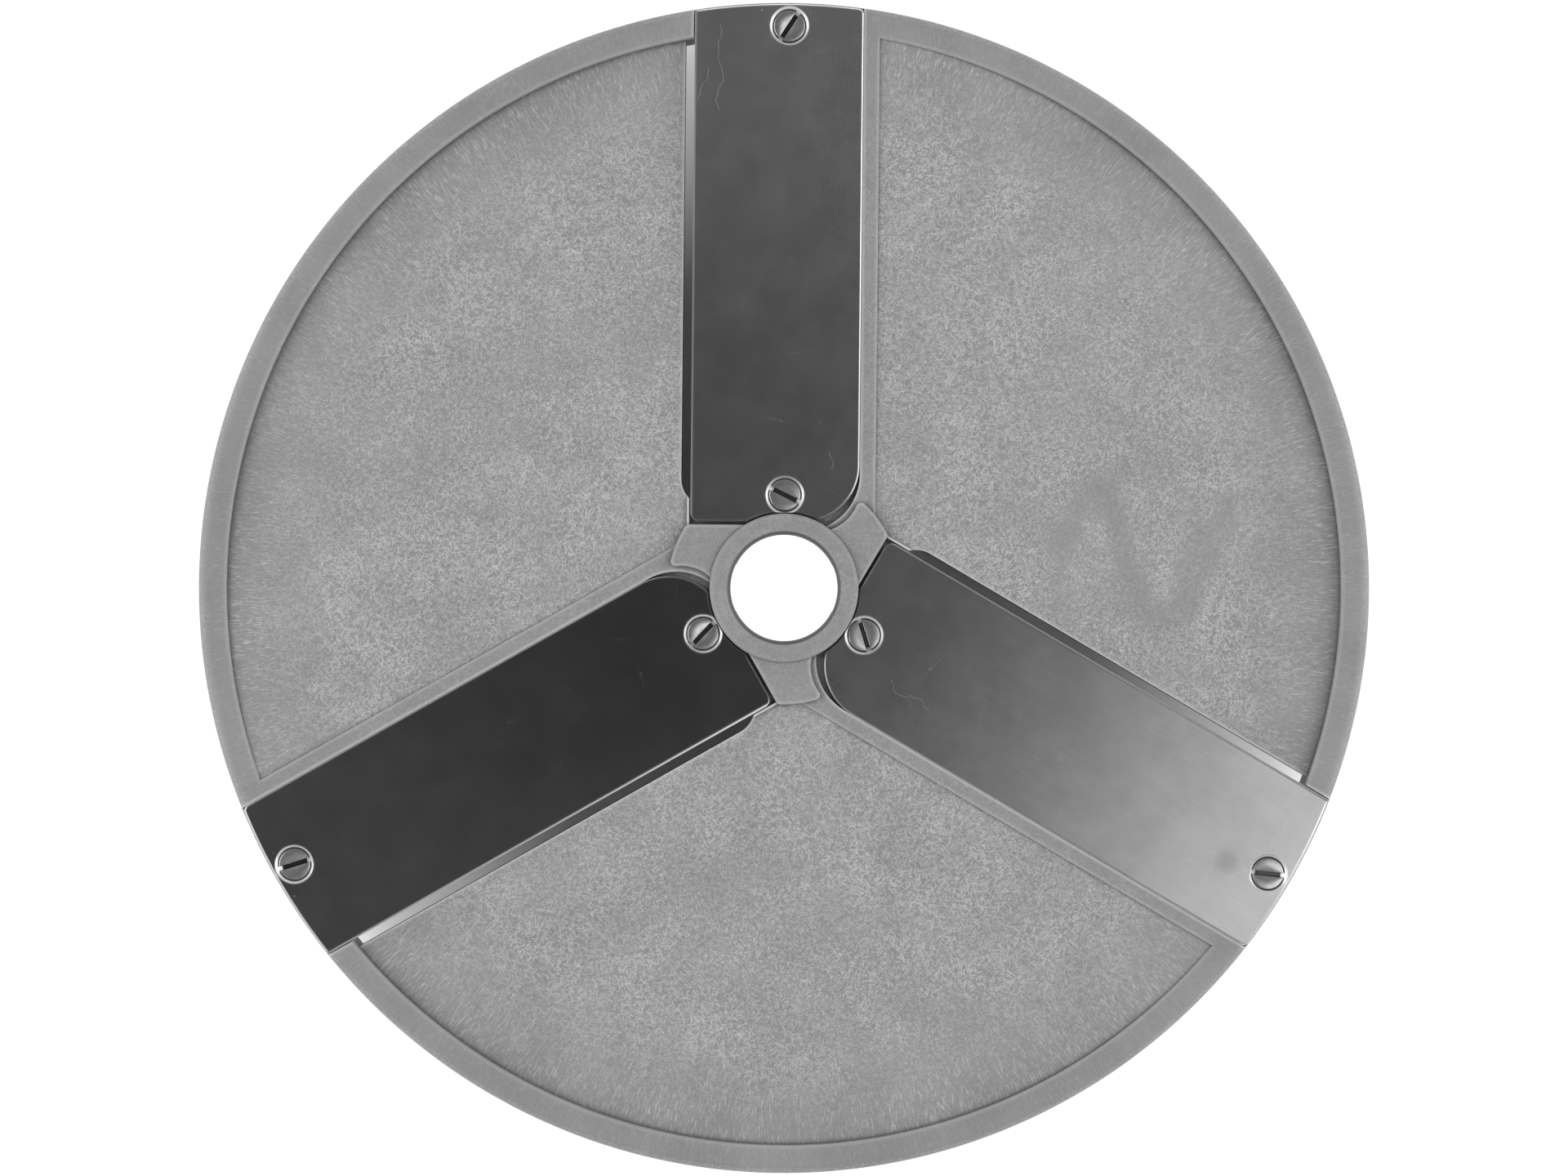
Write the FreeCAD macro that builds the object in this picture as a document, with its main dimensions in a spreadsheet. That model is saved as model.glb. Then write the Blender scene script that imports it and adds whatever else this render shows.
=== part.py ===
import FreeCAD, Part
import math
import os
import Sketcher

# Vegetable slicing disc: one moulded plastic disc with three ground steel blades.
# Millimetres. The axis of the disc is Z, the foot of the hub stands at Z = 0, the
# blades are on top and the first blade lies along +Y. Turning is seen from above.

doc = FreeCAD.newDocument("slicing_disc")
sheet = doc.addObject("Spreadsheet::Sheet", "Sizes")
X, Y, Z = FreeCAD.Vector(1, 0, 0), FreeCAD.Vector(0, 1, 0), FreeCAD.Vector(0, 0, 1)
UPRIGHT = FreeCAD.Rotation(X, 90)
BLADES = 3


# Sizes and the formulas that tie the shapes to them

class Size:
    """A length, with the cell formula that gives it."""

    def __init__(self, value, formula):
        self.value = value
        self.formula = formula

    def _join(self, sign, other, value):
        return Size(value, f"({self.formula} {sign} {as_size(other).formula})")

    def __add__(self, other):
        return self._join("+", other, self.value + as_size(other).value)

    def __sub__(self, other):
        return self._join("-", other, self.value - as_size(other).value)

    def __mul__(self, other):
        return self._join("*", other, self.value * as_size(other).value)

    def __truediv__(self, other):
        return self._join("/", other, self.value / as_size(other).value)

    def __neg__(self):
        return Size(-self.value, f"(-1 * {self.formula})")

    def root(self):
        return Size(math.sqrt(self.value), f"sqrt({self.formula})")


def as_size(number):
    return number if isinstance(number, Size) else Size(float(number), f"{float(number):.9f}")


def size(name, value):
    """A driving dimension: one cell of the sheet."""
    row = size.rows = getattr(size, "rows", 0) + 1
    sheet.set(f"A{row}", name)
    sheet.set(f"B{row}", str(value))
    sheet.setAlias(f"B{row}", name)
    return Size(float(value), f"Sizes.{name}")


def other_side(radius, reach):
    """The second coordinate of a point that lies on a circle about the axis."""
    return (radius * radius - reach * reach).root()


def turned(x, y):
    """The point (x, y) of the first blade, carried clockwise to the next one."""
    angle = math.radians(-360.0 / BLADES)
    x, y = as_size(x), as_size(y)
    return x * math.cos(angle) - y * math.sin(angle), x * math.sin(angle) + y * math.cos(angle)


# Disc
disc_diameter = size("disc_diameter", 205.0)
rim_width = size("rim_width", 5.1)
rim_height = size("rim_height", 13.0)
rim_lift = size("rim_lift", 8.0)
crown_width = size("crown_width", 1.9)
crown_depth = size("crown_depth", 2.6)
shoulder_width = size("shoulder_width", 0.5)
shoulder_depth = size("shoulder_depth", 1.0)
rim_inner_bevel = size("rim_inner_bevel", 0.4)
rim_foot_bevel = size("rim_foot_bevel", 0.8)
rim_draft = size("rim_draft", 0.3)
disc_radius = disc_diameter / 2
rim_inside = disc_radius - rim_width
land_top = rim_lift + rim_height

# Hub
bore_diameter = size("bore_diameter", 19.0)
bore_bevel = size("bore_bevel", 0.5)
collar_diameter = size("collar_diameter", 26.0)
collar_rise = size("collar_rise", 2.0)
collar_bevel = size("collar_bevel", 0.6)
foot_diameter = size("foot_diameter", 32.0)
foot_bevel = size("foot_bevel", 0.6)
hub_plate_diameter = size("hub_plate_diameter", 44.0)
hub_plate_thickness = size("hub_plate_thickness", 11.0)
drive_notch_width = size("drive_notch_width", 8.2)
drive_notch_depth = size("drive_notch_depth", 7.0)
bore_radius = bore_diameter / 2
collar_radius = collar_diameter / 2
foot_radius = foot_diameter / 2
hub_plate_radius = hub_plate_diameter / 2
hub_plate_bottom = land_top - hub_plate_thickness

# Lugs, the three raised islands round the collar
lug_circle_diameter = size("lug_circle_diameter", 40.7)
lug_rise = size("lug_rise", 1.2)
lug_flank_round = size("lug_flank_round", 7.35)
lug_corner_round = size("lug_corner_round", 0.9)
lug_bevel = size("lug_bevel", 0.3)
lug_radius = lug_circle_diameter / 2

# Blades
blade_width = size("blade_width", 29.5)
blade_heel = size("blade_heel_offset", 13.0)
blade_thickness = size("blade_thickness", 2.0)
blade_rise = size("blade_rise", 0.3)
blade_end = size("blade_end_offset", 11.46)
blade_corner_round = size("blade_corner_round", 10.0)
blade_tip_round = size("blade_tip_round", 1.6)
blade_rim_inset = size("blade_rim_inset", 0.5)
blade_outer_round = size("blade_outer_round", 1.0)
blade_bevel = size("blade_bevel", 0.3)
bevel_width = size("bevel_width", 3.6)
bevel_land = size("bevel_land", 0.15)
cutting_edge = blade_heel - blade_width
blade_radius = disc_radius - blade_rim_inset

# Clearances between the blades and the moulding
heel_gap = size("heel_gap", 0.05)
edge_gap = size("edge_gap", 0.2)
end_gap = size("end_gap", 0.5)
collar_gap = size("collar_gap", 0.2)
corner_gap = size("corner_gap", 1.5)

# Seats, lands, slots and panels
pocket_corner_round = size("pocket_corner_round", 9.9)
land_width = size("land_width", 2.8)
land_bevel = size("land_bevel", 0.35)
lip_width = size("lip_width", 0.4)
slot_width = size("slot_width", 1.65)
slot_end = size("slot_end_offset", 14.0)
slot_end_round = size("slot_end_round", 5.0)
blade_overhang = size("blade_overhang", 7.0)
throat_lean = size("throat_lean", 4.5)
panel_step = size("panel_step", 0.5)
panel_drop = size("panel_drop", 1.8)
web_thickness = size("web_thickness", 3.0)
beam_floor = size("beam_floor", 3.5)
beam_wall = size("beam_wall", 3.0)
beam_core_round = size("beam_core_round", 2.0)
rib_width = size("rib_width", 2.4)
rib_depth = size("rib_depth", 9.5)
ring_rib_diameter = size("ring_rib_diameter", 118.0)
ring_rib_radius = ring_rib_diameter / 2

# Screws and the threaded inserts that they hold in
screw_diameter = size("screw_diameter", 3.0)
screw_length = size("screw_length", 8.0)
head_diameter = size("head_diameter", 5.5)
head_rim = size("head_rim", 0.35)
drive_slot_width = size("drive_slot_width", 0.8)
drive_slot_depth = size("drive_slot_depth", 0.85)
countersink_diameter = size("countersink_diameter", 6.9)
blade_hole_diameter = size("blade_hole_diameter", 3.4)
outer_screw_inset = size("outer_screw_inset", 4.3)
inner_screw_gap = size("inner_screw_gap", 3.25)
insert_across_flats = size("insert_across_flats", 5.0)
insert_floor = size("insert_floor", 0.7)
thread_gap = size("thread_gap", 0.05)
tip_room = size("tip_room", 0.6)
insert_wall = size("insert_wall", 2.6)
screw_radius = screw_diameter / 2
head_radius = head_diameter / 2
sink_radius = countersink_diameter / 2
hole_radius = blade_hole_diameter / 2
outer_screw = disc_radius - outer_screw_inset
inner_screw = collar_radius + inner_screw_gap
insert_corner = insert_across_flats / math.sqrt(3.0)

# Levels and lines that several pieces share
blade_top = land_top + blade_rise
seat_top = blade_top - blade_thickness
lug_top = land_top + lug_rise
hub_top = land_top + collar_rise
heel_wall = blade_heel + heel_gap
edge_wall = cutting_edge - edge_gap
end_wall = blade_end - end_gap
foot_line = blade_end - corner_gap
land_edge = heel_wall + land_width
slot_wall = cutting_edge - slot_width
throat_top = cutting_edge + blade_overhang
head_top = blade_top - (sink_radius - head_radius) + head_rim
thread_depth = seat_top - head_top + screw_length + tip_room
insert_length = thread_depth + insert_floor


# Sketches and the solids drawn from them

def draw(sketch, corners):
    """Close an outline through the corners and bind each one to its sizes.

    A corner is (x, y), or (x, y, radius, way) where an arc of that radius comes
    to it, +1 anticlockwise and -1 clockwise.
    """
    corners = [tuple(as_size(part) for part in corner[:3]) + tuple(corner[3:]) for corner in corners]
    starts = []
    for index, corner in enumerate(corners):
        last = corners[index - 1]
        begin = FreeCAD.Vector(last[0].value, last[1].value, 0)
        end = FreeCAD.Vector(corner[0].value, corner[1].value, 0)
        if len(corner) == 2:
            sketch.addGeometry(Part.LineSegment(begin, end), False)
            starts.append(1)
            continue
        radius, way = corner[2].value, corner[3]
        chord = end - begin
        height = math.sqrt(max(radius ** 2 - (chord.Length / 2) ** 2, 0.0))
        aside = FreeCAD.Vector(-chord.y, chord.x, 0).normalize() * height * way
        centre = (begin + end) * 0.5 + aside
        first, second = (begin, end) if way > 0 else (end, begin)
        angles = [math.atan2(point.y - centre.y, point.x - centre.x) for point in (first, second)]
        circle = Part.Circle(centre, Z, radius)
        sketch.addGeometry(Part.ArcOfCircle(circle, angles[0], angles[1]), False)
        starts.append(1 if way > 0 else 2)
        bind(sketch, "Radius", corner[2], index)
    for index, corner in enumerate(corners):
        following = (index + 1) % len(corners)
        ends_here = 3 - starts[index]
        sketch.addConstraint(Sketcher.Constraint("Coincident", index, ends_here, following, starts[following]))
        bind(sketch, "DistanceX", corner[0], index, ends_here)
        bind(sketch, "DistanceY", corner[1], index, ends_here)
    return sketch


def bind(sketch, kind, length, *where):
    """Add one dimension to a sketch and tie it to its formula."""
    index = sketch.addConstraint(Sketcher.Constraint(kind, *where, length.value))
    sketch.setExpression(f"Constraints[{index}]", length.formula)


def flat_sketch(name, corners, height=0.0):
    """An outline seen from above, at a height."""
    sketch = doc.addObject("Sketcher::SketchObject", name)
    height = as_size(height)
    sketch.Placement.Base = FreeCAD.Vector(0, 0, height.value)
    sketch.setExpression("Placement.Base.z", height.formula)
    return draw(sketch, corners)


def section_sketch(name, corners, along=0.0):
    """An outline in the upright plane across the first blade: x outwards, y up."""
    sketch = doc.addObject("Sketcher::SketchObject", name)
    along = as_size(along)
    sketch.Placement = FreeCAD.Placement(FreeCAD.Vector(0, along.value, 0), UPRIGHT)
    sketch.setExpression("Placement.Base.y", along.formula)
    return draw(sketch, corners)


def extrude(name, sketch, length, direction=Z):
    solid = doc.addObject("Part::Extrusion", name)
    length = as_size(length)
    solid.Base = sketch
    solid.DirMode = "Custom"
    solid.Dir = direction
    solid.LengthFwd = length.value
    solid.setExpression("LengthFwd", length.formula)
    solid.Solid = True
    return solid


def revolve(name, corners):
    """Turn a half section about the axis of the disc."""
    solid = doc.addObject("Part::Revolution", name)
    solid.Source = section_sketch(name + "_section", corners)
    solid.Axis = Z
    solid.Angle = 360.0
    solid.Solid = True
    return solid


def cylinder(name, radius, bottom, top, x=0.0, y=0.0):
    solid = doc.addObject("Part::Cylinder", name)
    solid.setExpression("Radius", as_size(radius).formula)
    solid.setExpression("Height", (as_size(top) - bottom).formula)
    solid.setExpression("Placement.Base.x", as_size(x).formula)
    solid.setExpression("Placement.Base.y", as_size(y).formula)
    solid.setExpression("Placement.Base.z", as_size(bottom).formula)
    return solid


def join(name, solids):
    result = doc.addObject("Part::MultiFuse", name)
    result.Shapes = solids
    return result


def overlap(name, solids):
    result = doc.addObject("Part::MultiCommon", name)
    result.Shapes = solids
    return result


def remove(name, base, tool):
    result = doc.addObject("Part::Cut", name)
    result.Base = base
    result.Tool = tool
    return result


def work_edges(kind, name, solid, radius, wanted):
    """Round or bevel the edges of a solid that the test picks."""
    doc.recompute()
    result = doc.addObject(kind, name)
    result.Base = solid
    edges = solid.Shape.Edges
    picked = [number for number, edge in enumerate(edges, 1) if wanted(edge)]
    result.Edges = [(number, radius.value, radius.value) for number in picked]
    return result


def copies(name, solid):
    """The solid at each of the blades."""
    places = []
    for step in range(BLADES):
        copy = doc.addObject("App::Link", f"{name}_{step + 1}")
        copy.LinkedObject = solid
        copy.LinkTransform = True
        copy.LinkPlacement = FreeCAD.Placement(FreeCAD.Vector(), FreeCAD.Rotation(Z, -360.0 / BLADES * step))
        places.append(copy)
    return places


# The moulding: rings that run right round

rim = revolve("rim", [
    (rim_inside + rim_draft, rim_lift),
    (disc_radius - rim_foot_bevel, rim_lift),
    (disc_radius, rim_lift + rim_foot_bevel),
    (disc_radius, land_top - crown_depth),
    (disc_radius - shoulder_width, land_top - shoulder_depth),
    (disc_radius - crown_width, land_top),
    (rim_inside + rim_inner_bevel, land_top),
    (rim_inside, land_top - rim_inner_bevel),
])

hub = revolve("hub", [
    (0, 0),
    (foot_radius - foot_bevel, 0),
    (foot_radius, foot_bevel),
    (foot_radius, hub_plate_bottom),
    (hub_plate_radius, hub_plate_bottom),
    (hub_plate_radius, seat_top - panel_step),
    (lug_radius - lug_corner_round, seat_top - panel_step),
    (lug_radius - lug_corner_round, land_top),
    (0, land_top),
])

collar = revolve("collar", [
    (0, seat_top - panel_step),
    (collar_radius, seat_top - panel_step),
    (collar_radius, hub_top - collar_bevel),
    (collar_radius - collar_bevel, hub_top),
    (0, hub_top),
])

bore = revolve("bore", [
    (0, -hub_top),
    (bore_radius + bore_bevel, -hub_top),
    (bore_radius + bore_bevel, 0),
    (bore_radius, bore_bevel),
    (bore_radius, hub_top - bore_bevel),
    (bore_radius + bore_bevel, hub_top),
    (bore_radius + bore_bevel, hub_top * 2),
    (0, hub_top * 2),
])

# The moulding: what stands between one blade and the next, clockwise

rim_middle = rim_inside + rim_width / 2
panel_slope = panel_drop / (rim_inside - land_edge)


def panel_level(x):
    """Top of the panel, which falls away from the land behind the blade."""
    return land_top - panel_step - panel_slope * (x - land_edge)


def sloping_block(name, bottom, below):
    """A block under the sloping panel, with its top some way below the panel."""
    start, stop = heel_wall, rim_middle
    section = section_sketch(name + "_section", [
        (start, bottom(start)),
        (stop, bottom(stop)),
        (stop, panel_level(stop) - below),
        (start, panel_level(start) - below),
    ], disc_radius)
    return extrude(name, section, disc_radius * 2, -Y)


next_beam = [turned(throat_top + beam_wall / 2, reach) for reach in (0, disc_radius * 2)]
sector_plan = flat_sketch("sector_plan", [
    (heel_wall, disc_radius * 2),
    (heel_wall, 0),
    next_beam[0],
    next_beam[1],
])
sector = extrude("sector", sector_plan, hub_top)
ring = remove("panel_ring", cylinder("panel_ring_outside", rim_middle, 0, hub_top),
              cylinder("panel_ring_inside", lug_radius - rib_width, 0, hub_top))
field = overlap("field", [sector, ring])

web = overlap("web", [field, sloping_block("web_block", lambda x: panel_level(x) - web_thickness, 0)])

rib_half = rib_width / 2
middle = math.radians(90.0 - 180.0 / BLADES)
along = (math.cos(middle), math.sin(middle))
rib_ends = [(disc_radius * along[0] * end - rib_half * along[1] * side,
             disc_radius * along[1] * end + rib_half * along[0] * side)
            for end, side in ((0, -1), (1, -1), (1, 1), (0, 1))]
spoke = extrude("spoke_rib", flat_sketch("spoke_rib_plan", rib_ends), hub_top)
hoop = remove("hoop_rib", cylinder("hoop_outside", ring_rib_radius + rib_half, 0, hub_top),
              cylinder("hoop_inside", ring_rib_radius - rib_half, 0, hub_top))
slot_rib = extrude("slot_rib", flat_sketch("slot_rib_plan", [
    turned(slot_wall - rib_width, 0),
    turned(slot_wall - rib_width, disc_radius * 2),
    turned(throat_top, disc_radius * 2),
    turned(throat_top, 0),
]), hub_top)
rib_block = sloping_block("rib_block", lambda x: land_top - rib_depth, web_thickness / 2)
ribs = overlap("ribs", [join("rib_grid", [spoke, hoop, slot_rib]), field, rib_block])

beam_block = extrude("beam_block", section_sketch("beam_section", [
    (throat_top, rim_lift),
    (land_edge, rim_lift),
    (land_edge, land_top - land_bevel),
    (land_edge - land_bevel, land_top),
    (throat_top, land_top),
], rim_middle), rim_middle - foot_line, -Y)
beam = overlap("beam", [beam_block, cylinder("beam_limit", rim_middle, 0, hub_top)])

lip = extrude("lip", flat_sketch("lip_plan", [
    (edge_wall - lip_width, end_wall - lip_width),
    (edge_wall, end_wall - lip_width),
    (edge_wall, slot_end + slot_end_round),
    (edge_wall - lip_width, slot_end + slot_end_round),
], seat_top - panel_step), land_top - seat_top + panel_step)

sectors = copies("sector_at_blade", join("sector_of_disc", [web, ribs, beam, lip]))

# The moulding: what is open, at each blade

seat_corner = heel_wall - pocket_corner_round
seat = extrude("seat", flat_sketch("seat_plan", [
    (edge_wall, end_wall),
    (0, end_wall),
    (seat_corner, foot_line),
    (heel_wall, foot_line + pocket_corner_round, pocket_corner_round, 1),
    (heel_wall, disc_radius * 2),
    (edge_wall, disc_radius * 2),
], seat_top), hub_top)

throat_bottom = throat_top + throat_lean
throat_section = extrude("throat_section", section_sketch("throat_section_outline", [
    (slot_wall - slot_width, -slot_width),
    (throat_bottom, -slot_width),
    (throat_bottom, rim_lift),
    (throat_top, seat_top),
    (throat_top, hub_top),
    (slot_wall - slot_width, hub_top),
], disc_radius), disc_radius, -Y)
throat_plan = extrude("throat_plan", flat_sketch("throat_plan_outline", [
    (slot_wall, slot_end + slot_end_round),
    (slot_wall + slot_end_round, slot_end, slot_end_round, 1),
    (throat_bottom, slot_end),
    (throat_bottom, disc_radius),
    (slot_wall, disc_radius),
], -slot_width), hub_top * 2)
throat = overlap("throat", [throat_section, throat_plan])


def beam_core(name, near, far):
    """One of the hollows that lighten the beam under a blade, open downwards."""
    left, right = throat_bottom + beam_wall, land_edge - beam_wall
    block = extrude(name + "_block", flat_sketch(name + "_plan", [
        (left, near), (right, near), (right, far), (left, far)]), seat_top - beam_floor)
    return work_edges("Part::Fillet", name, block, beam_core_round, is_upright)


def is_upright(edge):
    return abs(edge.tangentAt(edge.FirstParameter).z) > 0.99


cores = [
    beam_core("inner_core", hub_plate_radius + beam_wall, ring_rib_radius - rib_width / 2),
    beam_core("outer_core", ring_rib_radius + rib_width / 2,
              outer_screw - insert_corner - insert_wall),
]

# Threaded inserts are moulded in, so the plastic fits them


def insert_hole(name, reach):
    prism = doc.addObject("Part::Prism", name)
    prism.Polygon = 6
    prism.setExpression("Circumradius", insert_corner.formula)
    prism.setExpression("Height", insert_length.formula)
    prism.setExpression("Placement.Base.y", reach.formula)
    prism.setExpression("Placement.Base.z", (seat_top - insert_length).formula)
    return prism


insert_holes = [insert_hole("outer_insert_hole", outer_screw), insert_hole("inner_insert_hole", inner_screw)]

# The moulding: the lugs

lug_reach = other_side(lug_radius, end_wall)
flank_x, flank_y = heel_wall - lug_flank_round, foot_line + lug_flank_round
flank_far = (flank_x * flank_x + flank_y * flank_y).root()
flank_along = (lug_radius * lug_radius - lug_flank_round * lug_flank_round
               + flank_far * flank_far) / (flank_far * 2)
flank_aside = other_side(lug_radius, flank_along)
lug_block = extrude("lug_block", flat_sketch("lug_plan", [
    (flank_x, foot_line, lug_flank_round, -1),
    turned(-collar_radius / 3, end_wall),
    turned(-lug_reach, end_wall),
    ((flank_x * flank_along + flank_y * flank_aside) / flank_far,
     (flank_y * flank_along - flank_x * flank_aside) / flank_far, lug_radius, 1),
], seat_top - panel_step), lug_top - seat_top + panel_step)


def is_lug_corner(edge):
    point = edge.valueAt(edge.FirstParameter)
    return is_upright(edge) and math.hypot(point.x, point.y) > collar_radius.value


def is_lug_rim(edge):
    box = edge.BoundBox
    return box.ZMin > lug_top.value - lug_bevel.value / 2


lug_cornered = work_edges("Part::Fillet", "lug_cornered", lug_block, lug_corner_round, is_lug_corner)
lugs = copies("lug_at_blade", work_edges("Part::Chamfer", "lug", lug_cornered, lug_bevel, is_lug_rim))

# The moulding: put together, with the bore and the notch for the drive pin

drive_notch = doc.addObject("Part::Box", "drive_notch")
drive_notch.setExpression("Length", (foot_radius * 4).formula)
drive_notch.setExpression("Width", drive_notch_width.formula)
drive_notch.setExpression("Height", (drive_notch_depth * 2).formula)
drive_notch.setExpression("Placement.Base.x", (-foot_radius * 2).formula)
drive_notch.setExpression("Placement.Base.y", (-drive_notch_width / 2).formula)
drive_notch.setExpression("Placement.Base.z", (-drive_notch_depth).formula)

throats = copies("throat_at_blade", join("throat_and_cores", [throat] + cores))
spread = remove("sectors_on_hub", join("hub_and_sectors", [hub] + sectors), join("throats", throats))
seats = copies("seat_at_blade", join("seat_and_insert_holes", [seat] + insert_holes))
seated = remove("seated", join("rimmed", [spread, rim]), join("seats", seats))
standing = join("standing", [seated, collar] + lugs)
disc_body = remove("disc_body", standing, join("hub_openings", [bore, drive_notch]))
disc_body.Label = "disc_body"

# Blades, screws and inserts


def plane_of(body, role):
    return next(item for item in body.Origin.OriginFeatures if item.Role == role)


def body_sketch(body, name, role, corners=()):
    """A sketch on one of a body's own planes."""
    sketch = body.newObject("Sketcher::SketchObject", name)
    sketch.AttachmentSupport = (plane_of(body, role), [""])
    sketch.MapMode = "FlatFace"
    return draw(sketch, corners) if corners else sketch


def new_body(label, turn):
    """An empty body for one piece, turned about the axis of the disc."""
    body = doc.addObject("PartDesign::Body", label)
    body.Label = label
    body.Placement.Rotation = FreeCAD.Rotation(Z, turn)
    return body


def pocket(body, name, sketch, depth=None):
    """Cut a sketch into a body, to a depth or both ways through all of it."""
    cut = body.newObject("PartDesign::Pocket", name)
    cut.Profile = sketch
    if depth is None:
        cut.Type = "ThroughAll"
        cut.Midplane = True
    else:
        cut.setExpression("Length", depth.formula)
    return cut


def revolution(body, name, corners):
    turned_solid = body.newObject("PartDesign::Revolution", name)
    sketch = body_sketch(body, name + "_section", "XZ_Plane", corners)
    turned_solid.Profile = sketch
    turned_solid.ReferenceAxis = (sketch, ["V_Axis"])
    turned_solid.Angle = 360.0
    return turned_solid


def add_blade(number):
    label = f"blade_{number}"
    body = new_body(label, -360.0 / BLADES * (number - 1))
    body.setExpression("Placement.Base.z", seat_top.formula)

    notch_radius = collar_radius + collar_gap
    corner_x, corner_y = blade_heel - blade_corner_round, blade_end + blade_corner_round
    corner_far = (corner_x * corner_x + corner_y * corner_y).root()
    corner_along = (notch_radius * notch_radius - blade_corner_round * blade_corner_round
                    + corner_far * corner_far) / (corner_far * 2)
    corner_aside = other_side(notch_radius, corner_along)
    outline = body_sketch(body, label + "_outline", "XY_Plane", [
        (cutting_edge, blade_end),
        (-other_side(notch_radius, blade_end), blade_end),
        ((corner_x * corner_along + corner_y * corner_aside) / corner_far,
         (corner_y * corner_along - corner_x * corner_aside) / corner_far, notch_radius, -1),
        (blade_heel, corner_y, blade_corner_round, 1),
        (blade_heel, other_side(blade_radius, blade_heel)),
        (cutting_edge, other_side(blade_radius, cutting_edge), blade_radius, 1),
    ])
    plate = body.newObject("PartDesign::Pad", label + "_plate")
    plate.Profile = outline
    plate.setExpression("Length", blade_thickness.formula)
    doc.recompute()
    corner = body.newObject("PartDesign::Fillet", label + "_outer_corner")
    corner.Base = picked_edges(plate, is_outer_heel_corner)
    corner.setExpression("Radius", blade_outer_round.formula)
    doc.recompute()
    top_edges = body.newObject("PartDesign::Chamfer", label + "_top_edges")
    top_edges.Base = picked_edges(corner, is_blade_rim)
    top_edges.setExpression("Size", blade_bevel.formula)
    doc.recompute()

    tip = body_sketch(body, label + "_tip_outline", "XY_Plane", [
        (cutting_edge - blade_tip_round, blade_end - blade_tip_round),
        (cutting_edge + blade_tip_round, blade_end - blade_tip_round),
        (cutting_edge + blade_tip_round, blade_end),
        (cutting_edge, blade_end + blade_tip_round, blade_tip_round, -1),
        (cutting_edge - blade_tip_round, blade_end + blade_tip_round),
    ])
    pocket(body, label + "_tip", tip)

    ground_to = blade_thickness - bevel_land
    bevel = body_sketch(body, label + "_bevel_section", "XZ_Plane", [
        (cutting_edge + bevel_width, -bevel_width),
        (cutting_edge + bevel_width, 0),
        (cutting_edge, ground_to),
        (cutting_edge - bevel_width, ground_to),
        (cutting_edge - bevel_width, -bevel_width),
    ])
    pocket(body, label + "_bevel", bevel)
    doc.recompute()

    centres = body_sketch(body, label + "_screw_centres", "XY_Plane")
    centres.setExpression("AttachmentOffset.Base.z", blade_thickness.formula)
    for index, reach in enumerate((outer_screw, inner_screw)):
        centres.addGeometry(Part.Circle(FreeCAD.Vector(0, reach.value, 0), Z, hole_radius.value), False)
        centres.addConstraint(Sketcher.Constraint("PointOnObject", index, 3, -2))
        bind(centres, "DistanceY", reach, index, 3)
        bind(centres, "Radius", hole_radius, index)
    doc.recompute()
    holes = body.newObject("PartDesign::Hole", label + "_screw_holes")
    holes.Profile = centres
    holes.DepthType = "ThroughAll"
    holes.HoleCutType = "Countersink"
    holes.HoleCutCustomValues = True
    holes.HoleCutCountersinkAngle = 90.0
    holes.setExpression("Diameter", (hole_radius * 2).formula)
    holes.setExpression("HoleCutDiameter", (sink_radius * 2).formula)
    return body


def picked_edges(base, wanted):
    return base, [f"Edge{number}" for number, edge in enumerate(base.Shape.Edges, 1) if wanted(edge)]


def is_outer_heel_corner(edge):
    return is_upright(edge) and edge.BoundBox.XMin > 0 and edge.BoundBox.YMin > blade_radius.value / 2


def is_blade_rim(edge):
    """The top edges of a blade, apart from its cutting edge."""
    box = edge.BoundBox
    return box.ZMin > blade_thickness.value / 2 and box.XMax > cutting_edge.value + blade_tip_round.value


def add_screw(label, reach, turn, slot_turn):
    """A slotted countersunk screw, with its top at its own origin."""
    body = new_body(label, slot_turn)
    place_on_blade(body, reach, turn, head_top)
    cone_foot = -head_rim - head_radius + screw_radius
    revolution(body, label + "_turned", [
        (0, -screw_length),
        (screw_radius, -screw_length),
        (screw_radius, cone_foot),
        (head_radius, -head_rim),
        (head_radius, 0),
        (0, 0),
    ])
    half = drive_slot_width / 2
    slot = body_sketch(body, label + "_slot_outline", "XY_Plane", [
        (-head_radius * 2, -half), (head_radius * 2, -half), (head_radius * 2, half), (-head_radius * 2, half)])
    pocket(body, label + "_slot", slot, drive_slot_depth)
    return body


def add_insert(label, reach, turn):
    """A hexagonal threaded insert, closed below, with its top at its own origin."""
    body = new_body(label, turn)
    place_on_blade(body, reach, turn, seat_top)
    corners = [math.radians(60.0 * step) for step in range(6)]
    hexagon = body_sketch(body, label + "_hexagon", "XY_Plane", [
        (insert_corner * math.cos(corner), insert_corner * math.sin(corner)) for corner in corners])
    bar = body.newObject("PartDesign::Pad", label + "_bar")
    bar.Profile = hexagon
    bar.Reversed = True
    bar.setExpression("Length", insert_length.formula)
    thread = body_sketch(body, label + "_thread_circle", "XY_Plane")
    thread.addGeometry(Part.Circle(FreeCAD.Vector(), Z, screw_radius.value), False)
    thread.addConstraint(Sketcher.Constraint("Coincident", 0, 3, -1, 1))
    bind(thread, "Radius", screw_radius + thread_gap, 0)
    pocket(body, label + "_thread", thread, thread_depth)
    return body


def place_on_blade(body, reach, turn, height):
    angle = math.radians(turn)
    body.setExpression("Placement.Base.x", (reach * -math.sin(angle)).formula)
    body.setExpression("Placement.Base.y", (reach * math.cos(angle)).formula)
    body.setExpression("Placement.Base.z", height.formula)


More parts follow.
